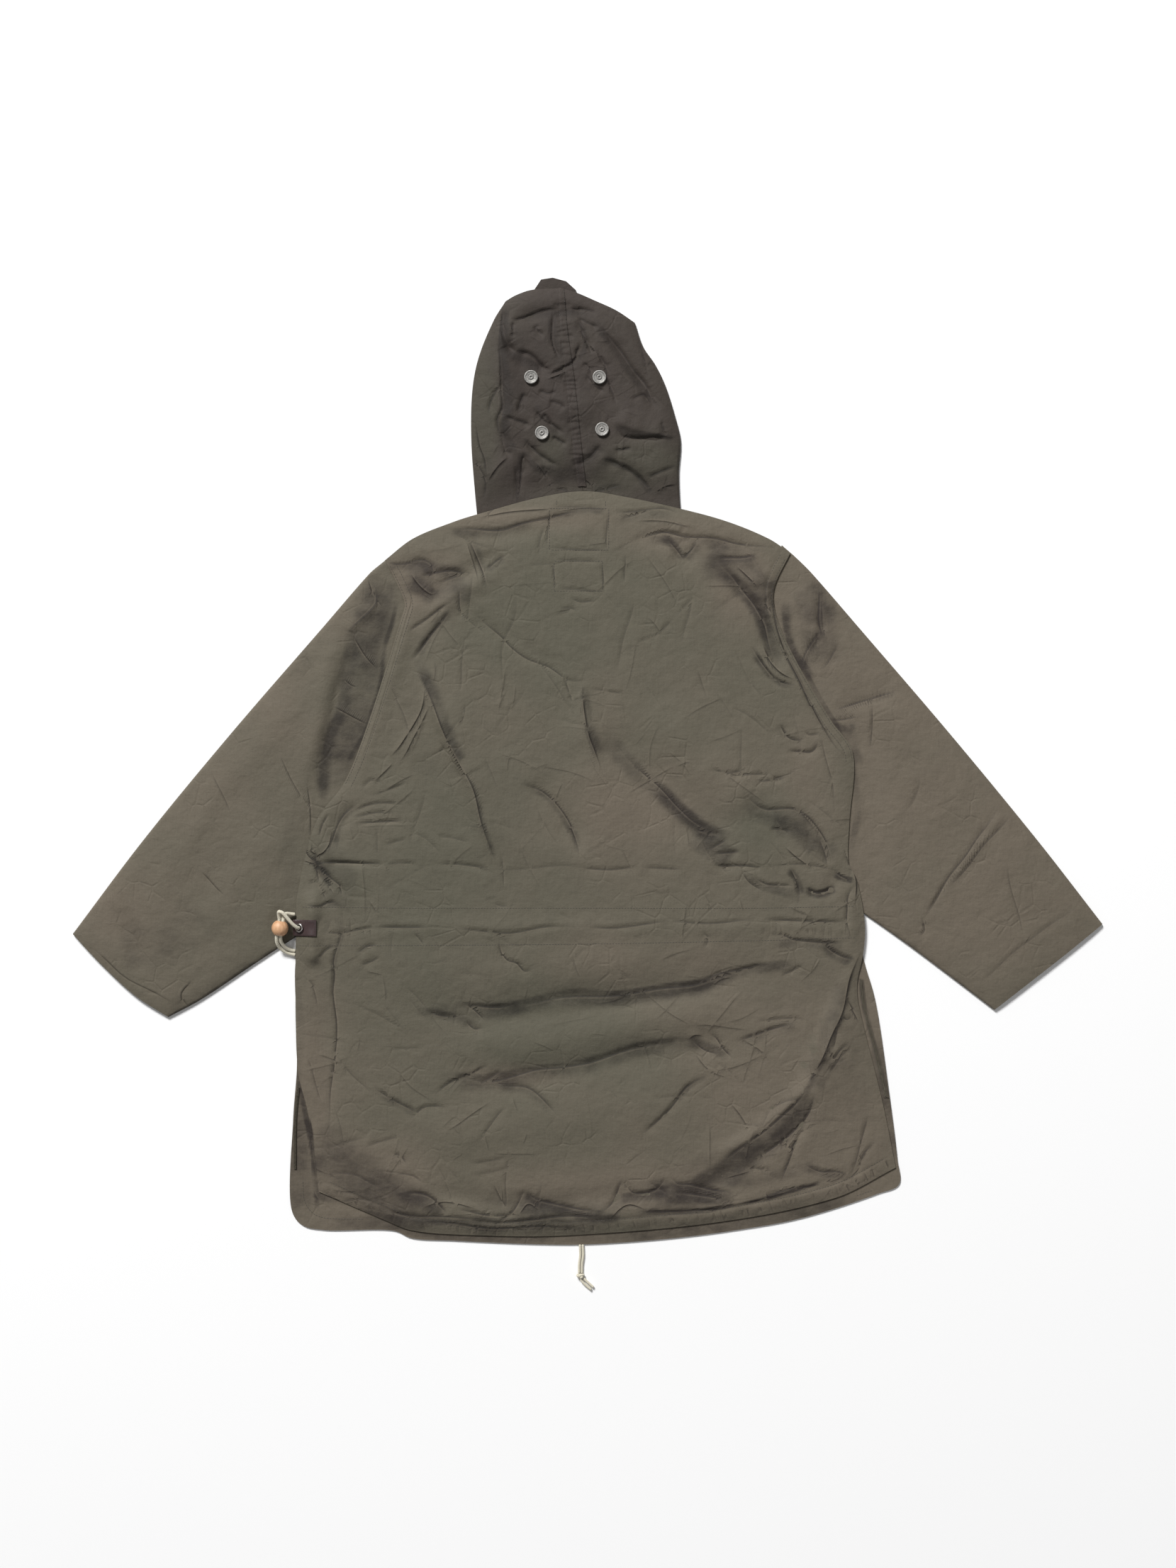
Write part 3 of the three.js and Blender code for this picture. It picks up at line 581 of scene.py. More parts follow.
def braided_tube(name, path, radius, closes=False):
    """A round cord of braided yarns along a path, all in millimetres."""
    sides = 20
    _, first, second = frames_along(path)
    lengths = lengths_along(path)
    angles = np.linspace(0, TURN, sides, endpoint=False)
    lay = TURN / (5.2 * radius)
    over = np.cos(4 * angles[None] + 4 * lay * lengths[:, None])
    under = np.cos(4 * angles[None] - 4 * lay * lengths[:, None])
    reach = radius * (0.94 + 0.06 * np.maximum(over, under))
    rings = (
        path[:, None]
        + first[:, None] * (reach * np.cos(angles))[..., None]
        + second[:, None] * (reach * np.sin(angles))[..., None]
    )
    count = len(path)
    faces = []
    for i in range(count if closes else count - 1):
        a, b = i * sides, (i + 1) % count * sides
        for j in range(sides):
            k = (j + 1) % sides
            faces.append([a + j, b + j, b + k, a + k])
    vertices = rings.reshape(-1, 3)
    if not closes:
        bulge = 0.4 * radius
        start = path[0] - bulge * (path[1] - path[0]) / np.linalg.norm(path[1] - path[0])
        end = path[-1] + bulge * (path[-1] - path[-2]) / np.linalg.norm(path[-1] - path[-2])
        vertices = np.concatenate([vertices, [start, end]])
        top = (count - 1) * sides
        for j in range(sides):
            k = (j + 1) % sides
            faces.append([j, k, count * sides])
            faces.append([top + k, top + j, count * sides + 1])
    return new_object(name, vertices, faces, smooth_angle=80)


# Finishes

OLIVE = (0.098, 0.090, 0.064)
BROWN = (0.135, 0.112, 0.083)
# Colours that the painted shade darkens the cloth toward
DARK_OLIVE = (0.019, 0.017, 0.012)
DARK_PLUM = (0.024, 0.018, 0.015)
HOOD_OLIVE = (0.059, 0.052, 0.038)
HOOD_BROWN = (0.044, 0.034, 0.028)
THREAD = (0.050, 0.043, 0.034)
CORD_COTTON = (0.74, 0.69, 0.55)
LEATHER = (0.033, 0.019, 0.019)
WOOD_LIGHT = (0.66, 0.39, 0.22)
WOOD_DARK = (0.50, 0.27, 0.14)
NICKEL = (0.33, 0.32, 0.30)


class Finish:
    """A material with its nodes, joined by short calls."""

    def __init__(self, name, roughness, **inputs):
        self.material = bpy.data.materials.new(name)
        self.material.use_nodes = True
        self.nodes = self.material.node_tree.nodes
        self.shader = self.nodes["Principled BSDF"]
        self.shader.inputs["Roughness"].default_value = roughness
        for key, value in inputs.items():
            self.shader.inputs[key.replace("_", " ")].default_value = value
        self.place = self.nodes.new("ShaderNodeTexCoord").outputs["Object"]

    def join(self, output, target):
        self.material.node_tree.links.new(output, target)

    def put(self, target, value):
        """Joins an output to an input, or sets the input's own value."""
        if isinstance(value, bpy.types.NodeSocket):
            self.join(value, target)
        else:
            target.default_value = value

    def math(self, operation, *values, clamp=False):
        node = self.nodes.new("ShaderNodeMath")
        node.operation = operation
        node.use_clamp = clamp
        for target, value in zip(node.inputs, values):
            self.put(target, value)
        return node.outputs[0]

    def spread(self, value, low, high, new_low=0.0, new_high=1.0):
        """The value again, with low to high spread over new_low to new_high."""
        node = self.nodes.new("ShaderNodeMapRange")
        node.interpolation_type = "SMOOTHSTEP"
        for target, number in zip(node.inputs, (value, low, high, new_low, new_high)):
            self.put(target, number)
        return node.outputs[0]

    def mix(self, share, first, second, way="MIX"):
        node = self.nodes.new("ShaderNodeMix")
        node.data_type = "RGBA"
        node.blend_type = way
        self.put(node.inputs["Factor"], share)
        for target, value in ((node.inputs[6], first), (node.inputs[7], second)):
            self.put(target, (*value, 1) if isinstance(value, tuple) else value)
        return node.outputs[2]

    def stretched(self, scale):
        node = self.nodes.new("ShaderNodeMapping")
        self.join(self.place, node.inputs["Vector"])
        node.inputs["Scale"].default_value = scale
        return node.outputs[0]

    def noise(self, scale, detail=3.0, roughness=0.5, stretch=(1, 1, 1)):
        node = self.nodes.new("ShaderNodeTexNoise")
        self.join(self.stretched(stretch), node.inputs["Vector"])
        node.inputs["Scale"].default_value = scale
        node.inputs["Detail"].default_value = detail
        node.inputs["Roughness"].default_value = roughness
        return node.outputs[0]

    def cells(self, scale):
        """Distance from the nearest edge in a net of random cells."""
        node = self.nodes.new("ShaderNodeTexVoronoi")
        node.feature = "DISTANCE_TO_EDGE"
        self.join(self.place, node.inputs["Vector"])
        node.inputs["Scale"].default_value = scale
        return node.outputs["Distance"]

    def layer(self, name):
        node = self.nodes.new("ShaderNodeAttribute")
        node.attribute_name = name
        return node.outputs["Fac"]

    def axis(self, index):
        node = self.nodes.new("ShaderNodeSeparateXYZ")
        self.join(self.place, node.inputs[0])
        return node.outputs[index]

    def waves(self, index, pitch):
        """Minus one to one along an axis, with a pitch in metres."""
        return self.math("SINE", self.times(self.axis(index), TURN / pitch))

    def times(self, first, second):
        return self.math("MULTIPLY", first, second)

    def scaled(self, value, size):
        """A zero-to-one value as a height about zero, in metres."""
        return self.times(self.math("SUBTRACT", value, 0.5), size)

    def finish(self, color, height=None):
        self.put(self.shader.inputs["Base Color"], color)
        if height is not None:
            bump = self.nodes.new("ShaderNodeBump")
            bump.inputs["Strength"].default_value = 1.0
            bump.inputs["Distance"].default_value = 1.0
            self.join(height, bump.inputs["Height"])
            self.join(bump.outputs[0], self.shader.inputs["Normal"])
        return self.material


WEAVE_PITCH = 0.0007
WEAVE_DEPTH = 0.00003
CRUMPLE_DEPTH = 0.0014
NICK_DEPTH = 0.00034
STEP_DEPTH = 0.0006


def shot_cotton(name, light, warm):
    """Fine plain-weave cotton, its warp and weft of different colours, with painted shade and painted highlights along
    its folds.
    """
    cloth = Finish(name, 0.74, Sheen_Weight=0.12, Sheen_Roughness=0.45, Specular_IOR_Level=0.32)
    cloth.shader.inputs["Sheen Tint"].default_value = (0.82, 0.72, 0.62, 1)

    # Warp and weft in clouds
    clouds = cloth.times(cloth.scaled(cloth.noise(9, 4), 1.0), 1.1)
    brown = cloth.math("ADD", cloth.layer("brown"), clouds, clamp=True)
    color = cloth.mix(brown, light, warm)
    # Colour of the painted shade, browner where the weft shows more
    dark = cloth.mix(brown, DARK_OLIVE, DARK_PLUM)

    # Painted shade: dark strokes for the folds and for the shadows beside them, broken up and with ragged edges
    ragged = cloth.scaled(cloth.noise(55, 5, 0.65), 0.36)
    broken = cloth.spread(cloth.noise(48, 6, 0.72, stretch=(0.6, 1, 1)), 0.32, 0.66, 0.68, 1.10)
    painted = cloth.times(cloth.layer("dark"), broken)
    shaded = cloth.spread(cloth.math("ADD", painted, ragged), 0.06, 0.92, 0.0, 0.92)
    color = cloth.mix(shaded, color, dark)

    # Painted shade on each crease's wall and a painted highlight along its crest; the wall also steps down in the bump
    wall, strength = cloth.layer("wall"), cloth.layer("line")
    crease_painted_shade = cloth.times(cloth.spread(wall, -0.2, 0.3), cloth.spread(wall, 0.4, 3.2, 1.0, 0.0))
    color = cloth.mix(cloth.times(crease_painted_shade, cloth.times(strength, 0.8)), color, dark)
    crease_painted_highlight = cloth.times(cloth.spread(wall, -2.6, -0.4), cloth.spread(wall, -0.3, 0.1, 1.0, 0.0))
    crease_highlight_color = tuple(1.6 * c for c in warm)
    color = cloth.mix(cloth.times(crease_painted_highlight, cloth.times(strength, 0.22)), color, crease_highlight_color)
    step = cloth.times(cloth.spread(wall, -0.1, 1.4), cloth.times(strength, -STEP_DEPTH))

    # Uneven yarns
    slubs = cloth.noise(700, 3, 0.6, stretch=(1, 0.1, 0.2))
    picks = cloth.noise(700, 3, 0.6, stretch=(0.1, 1, 0.2))
    value = cloth.spread(cloth.math("ADD", slubs, picks), 0.7, 1.3, 0.9, 1.1)
    gray = cloth.mix(value, (0.0, 0.0, 0.0), (1.0, 1.0, 1.0))
    color = cloth.mix(1.0, color, gray, "MULTIPLY")

    # Weave, crumples, and nicks in patches
    weave = cloth.times(cloth.waves(0, WEAVE_PITCH), cloth.waves(1, WEAVE_PITCH))
    crumple = cloth.math("ADD", cloth.noise(75, 5, 0.6), cloth.times(cloth.noise(30, 2), 1.2))
    height = cloth.math("ADD", cloth.times(weave, WEAVE_DEPTH), cloth.scaled(crumple, CRUMPLE_DEPTH))
    patches = cloth.spread(cloth.noise(16, 3, 0.6), 0.48, 0.64)
    nicks = cloth.times(cloth.spread(cloth.cells(44), 0.0, 0.08, -1.0, 0.0), patches)
    height = cloth.math("ADD", height, cloth.times(nicks, NICK_DEPTH))
    return cloth.finish(color, cloth.math("ADD", height, step))


def thread(name, color):
    strand = Finish(name, 0.7, Sheen_Weight=0.2)
    return strand.finish(strand.mix(strand.noise(900), color, tuple(0.6 * c for c in color)))


def cotton_cord():
    cord = Finish("cotton_cord", 0.85, Sheen_Weight=0.3)
    color = cord.mix(cord.noise(700, 3), CORD_COTTON, tuple(0.72 * c for c in CORD_COTTON))
    return cord.finish(color, cord.scaled(cord.noise(2600, 2), 0.00025))


def smooth_leather():
    hide = Finish("leather", 0.42, Coat_Weight=0.15)
    color = hide.mix(hide.noise(260, 4), LEATHER, tuple(1.8 * c for c in LEATHER))
    return hide.finish(color, hide.scaled(hide.noise(1500, 4), 0.00018))


def turned_wood():
    wood = Finish("wood", 0.55, Coat_Weight=0.08, Coat_Roughness=0.35)
    grain = wood.noise(330, 5, 0.65, stretch=(1, 0.12, 1))
    fine = wood.noise(1500, 3, 0.6, stretch=(1, 0.08, 1))
    share = wood.math("ADD", wood.spread(grain, 0.35, 0.7), wood.scaled(fine, 0.5), clamp=True)
    return wood.finish(wood.mix(share, WOOD_LIGHT, WOOD_DARK), wood.scaled(fine, 0.0001))


def aged_metal(name, color, roughness, metallic=1.0):
    metal = Finish(name, roughness, Metallic=metallic)
    worn = metal.noise(500, 5, 0.6)
    return metal.finish(
        metal.mix(metal.spread(worn, 0.4, 0.7), color, tuple(0.55 * c for c in color)),
        metal.scaled(metal.noise(1400, 3), 0.0001),
    )


body_cotton = shot_cotton("shell_cotton_body", OLIVE, BROWN)
hood_cotton = shot_cotton("shell_cotton_hood", HOOD_OLIVE, HOOD_BROWN)
sewing_thread = thread("sewing_thread", THREAD)
cord_cotton = cotton_cord()
nickel = aged_metal("nickel", NICKEL, 0.5, metallic=0.35)
bright_nickel = aged_metal("bright_nickel", (0.72, 0.70, 0.68), 0.2)
zip_metal = aged_metal("zip_metal", (0.30, 0.27, 0.21), 0.35)


# Cords, first because their room is limited

WAIST_RADIUS = 0.0020
HEM_RADIUS = 0.0014
HEM_Z = HEM_RADIUS + 0.00015
WAIST_ROUTES = {
    "a": [
        (-0.3214, -0.1860, 0.0112),
        (-0.3236, -0.1850, 0.0140),
        (-0.3284, -0.1806, 0.0168),
        (-0.3334, -0.1744, 0.0190),
        (-0.3382, -0.1688, 0.0202),
        (-0.3424, -0.1674, 0.0196),
        (-0.3430, -0.1710, 0.0172),
        (-0.3426, -0.1764, 0.0152),
        (-0.3441, -0.1856, 0.0150),
        (-0.3456, -0.1946, 0.0149),
        (-0.3456, -0.2024, 0.0116),
        (-0.3420, -0.2094, 0.0064),
        (-0.3354, -0.2140, 0.0032),
        (-0.3268, -0.2164, 0.0025),
    ],
    "b": [
        (-0.3268, -0.1710, 0.0074),
        (-0.3314, -0.1704, 0.0090),
        (-0.3356, -0.1700, 0.0114),
        (-0.3382, -0.1722, 0.0138),
        (-0.3384, -0.1774, 0.0150),
        (-0.3399, -0.1864, 0.0150),
        (-0.3414, -0.1954, 0.0148),
        (-0.3408, -0.2020, 0.0114),
        (-0.3370, -0.2078, 0.0070),
        (-0.3322, -0.2108, 0.0042),
        (-0.3268, -0.2120, 0.0028),
    ],
}
HEM_ROUTES = {
    "left": [(-0.0086, -0.5406), (-0.0082, -0.552), (-0.0094, -0.562), (-0.0096, -0.5718)],
    "right": [(-0.0054, -0.5406), (-0.0050, -0.552), (-0.0062, -0.562), (-0.0064, -0.5718)],
}
TAIL_ROUTES = {
    "left": [(-0.0078, -0.5789), (-0.0044, -0.5834), (0.0037, -0.5904)],
    "right": [(-0.0044, -0.5782), (-0.0009, -0.5814), (0.0062, -0.5878)],
}
KNOT = {"centre": (-8.0, -575.0, 2.7), "box": (9.6, 6.4, 5.2)}


def lay_cord(name, route, radius, node):
    """A braided cord along a route in metres, and its centreline."""
    at = curve_through(route)
    length = steps_of(at(np.linspace(0, 1, 200))).sum()
    path = at(np.linspace(0, 1, int(length / 0.0006)))
    made = piece(braided_tube(name, path / MM, radius / MM), cord_cotton, "cord_cotton", node)
    return made, path, length


def knot():
    """An overhand knot pulled tight, seen as turns of cord that cross."""
    t = np.linspace(0, TURN, 160, endpoint=False)
    turns = np.stack([
        np.sin(t) + 2 * np.sin(2 * t),
        np.cos(t) - 2 * np.cos(2 * t),
        -np.sin(3 * t),
    ], axis=1)
    radius = HEM_RADIUS / MM
    room = np.array(KNOT["box"]) / 2 - radius
    path = np.array(KNOT["centre"]) + turns * room / np.abs(turns).max(0)
    made = braided_tube("hem_cord_knot", path, radius, closes=True)
    return piece(made, cord_cotton, "cord_cotton", "hem_knot")


hem_knot = knot()
tails = []
for side, route in TAIL_ROUTES.items():
    route = [(x, y, HEM_Z) for x, y in route]
    tails.append(lay_cord(f"hem_cord_end_{side}", route, HEM_RADIUS, f"hem_tail_{side}")[0])
for side, route in HEM_ROUTES.items():
    route = [(x, y, HEM_Z) for x, y in route]
    strand, path, length = lay_cord(f"hem_drawcord_{side}", route, HEM_RADIUS, f"hem_cord_{side}")
    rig.cord(
        strand,
        exit=route[0],
        length=length,
        diameter=2 * HEM_RADIUS,
        far_end="knot",
        stiffness="limp",
        lay="loose",
        path=path,
        with_pieces=[hem_knot, *tails] if side == "left" else [],
    )


def wooden_bead():
    """A turned bead, with its hole along Y and its mouths rounded."""
    radius, hole = 9.3, 4.7
    mouth = math.acos(hole / radius)
    angles = np.linspace(-mouth, mouth, 33)
    profile = [(radius * math.cos(a), radius * math.sin(a)) for a in angles]
    inner = hole - 0.35
    profile = [*profile, (inner, profile[-1][1] - 0.7), (inner, 0.7 - profile[-1][1]), profile[0]]
    points, faces = turned(profile, 56)
    points = points[:, [0, 2, 1]]
    faces = [face[::-1] for face in faces]
    tilt = -0.17
    turn = np.array([
        [math.cos(tilt), -math.sin(tilt), 0],
        [math.sin(tilt), math.cos(tilt), 0],
        [0, 0, 1],
    ])
    low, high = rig.box("cord_bead")
    centre = np.array((low + high) / 2) / MM
    made = new_object("wooden_bead", points @ turn.T + centre, faces)
    return piece(made, turned_wood(), "bead_wood", "cord_bead")


bead = wooden_bead()
for strand_name, route in WAIST_ROUTES.items():
    strand, path, length = lay_cord(
        f"waist_drawcord_{strand_name}", route, WAIST_RADIUS, f"waist_cord_{strand_name}"
    )
    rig.cord(
        strand,
        exit=route[0],
        length=length,
        diameter=2 * WAIST_RADIUS,
        far_end="object",
        stiffness="limp",
        lay="loose",
        path=path,
        with_pieces=[bead] if strand_name == "a" else [],
    )


# Back panel

WALL = 1.4
TUBE_EDGE = 2 * WALL + 0.7
HEM_RIM = 2 * WALL + 0.3
OVER_RIM = TUBE_EDGE + 0.7 + WALL
BACK_PUFF = 3.0


def at_rim(rim, *points):
    """Points of an outline whose rim is all at one height."""
    return [(x, y, rim) for x, y in points]


BACK_LEFT = [
    *at_rim(HEM_RIM, (-300, -481), (-312, -394), (-323, -349), (-326, -290)),
    (-326, -236, HEM_RIM + 1),
    (-326, -213, HEM_RIM + 2),
    *at_rim(OVER_RIM, (-325, -190), (-324, -150), (-303, -68), (-271, -23), (-244, 45), (-208, 159),
            (-204, 175), (-211, 194), (-226, 224)),
]
BACK_RIGHT = [
    *at_rim(HEM_RIM, (344, -454), (329, -380), (303, -274), (301, -248)),
    (308, -212, HEM_RIM + 1.5),
    *at_rim(OVER_RIM, (309, -179), (300, -132), (291, -113), (292, -68), (296, 8), (271, 46),
            (232, 113), (211, 160), (208, 192), (226, 232)),
]
BACK_HEM = at_rim(HEM_RIM, (-300, -481), (-228, -512), (-197, -524), (-141, -529), (-30, -530),
                  (145, -515), (276, -488), (344, -454))
BACK_NECK = [
    *at_rim(OVER_RIM, (-226, 224)),
    *at_rim(OVER_RIM - 0.6, (-195, 248), (-149, 267)),
    *at_rim(OVER_RIM, (-120, 276), (-54, 294), (-4, 301), (40, 295), (105, 281)),
    *at_rim(OVER_RIM - 0.6, (156, 267), (202, 248)),
    *at_rim(OVER_RIM, (226, 232)),
]
BACK_SPAN = (590, 760)
RIGHT_ARMHOLE = [(202, 201), (206, 176), (210, 151), (218, 129), (234, 92), (256, 47), (274, 22),
                 (294, 1)]

# Large folds, as the solid has them
BACK_LARGE = [
    fold(0.86, 22, 1, (-240, -97), (-60, -98), (120, -98), (250, -92)),
    fold(1.3, 14, 1, (-316, -186), (-60, -186), (160, -184), (296, -182)),
    fold(7.0, 13, 1, (-308, -138), (-308, -234)),
    fold(-3.17, 11, 1, (-318, -84), (-300, -110), (-284, -136)),
    fold(-3.31, 12, 1, (296, -108), (284, -128), (262, -134)),
    fold(2.16, 14, 0.5, (296, -140), (293, -204)),
    fold(4.03, 40, 0.34, (-190, 113), (-157, 41), (-126, -31), (-100, -112)),
    fold(-2.45, 18, 1, (-67, -14), (-31, -59), (-4, -108)),
    fold(-4.03, 30, 1, (-3, 46), (24, 20), (70, -23), (115, -63), (160, -106)),
    fold(2.59, 30, 1, (-22, 60), (14, -30), (52, -96)),
    fold(2.74, 32, 1, (70, 70), (120, 10), (190, -60)),
    fold(-3.02, 14, 1, (158, 204), (186, 166), (204, 128), (222, 92)),
    fold(2.16, 16, 1, (180, 216), (202, 178), (206, 150)),
    fold(-1.73, 13, 1, (-144, 168), (-80, 132), (-18, 92)),
    fold(-2.59, 13, 1, (-181, 182), (-150, 202), (-89, 238)),
    fold(2.3, 14, 1, (-188, 156), (-146, 184), (-96, 214)),
    fold(-2.3, 12, 1, (-222, 214), (-170, 222), (-150, 216)),
    fold(-2.16, 12, 1, (-165, 252), (-90, 252), (0, 272)),
    fold(-2.16, 12, 1, (50, 246), (110, 246), (200, 234)),
    fold(-2.45, 14, 1, (92, 236), (112, 226), (132, 238)),
    fold(2.74, 24, 0.5, (-262, -20), (-236, 52), (-212, 120), (-200, 184)),
    fold(-2.59, 14, 1, (-286, -104), (-276, -66), (-254, -42)),
    fold(-3.31, 27, 1, (-210, -270), (-123, -283), (-30, -271), (109, -252), (240, -228)),
    fold(-3.17, 25, 1, (-170, -352), (-95, -357), (-30, -343), (109, -318), (190, -304)),
    fold(2.45, 30, 1, (-180, -318), (-50, -316), (80, -290), (210, -268)),
    fold(1.87, 34, 1, (-250, -240), (-60, -236), (120, -216)),
    fold(2.45, 34, 1, (-220, -420), (-100, -412), (20, -396), (140, -372)),
    fold(7.4, 44, 0.3, (300, -220), (280, -272), (262, -330), (246, -364), (196, -412), (128, -452)),
    fold(-3.17, 15, 1, (257, -356), (232, -402), (168, -452), (110, -486)),
    fold(-2.59, 14, 1, (-210, -474), (-100, -492), (20, -488), (90, -484)),
    fold(1.73, 20, 1, (-240, -500), (-60, -512), (140, -498), (300, -470)),
    fold(-2.45, 16, 1, (-296, -250), (-296, -340), (-298, -440)),
]

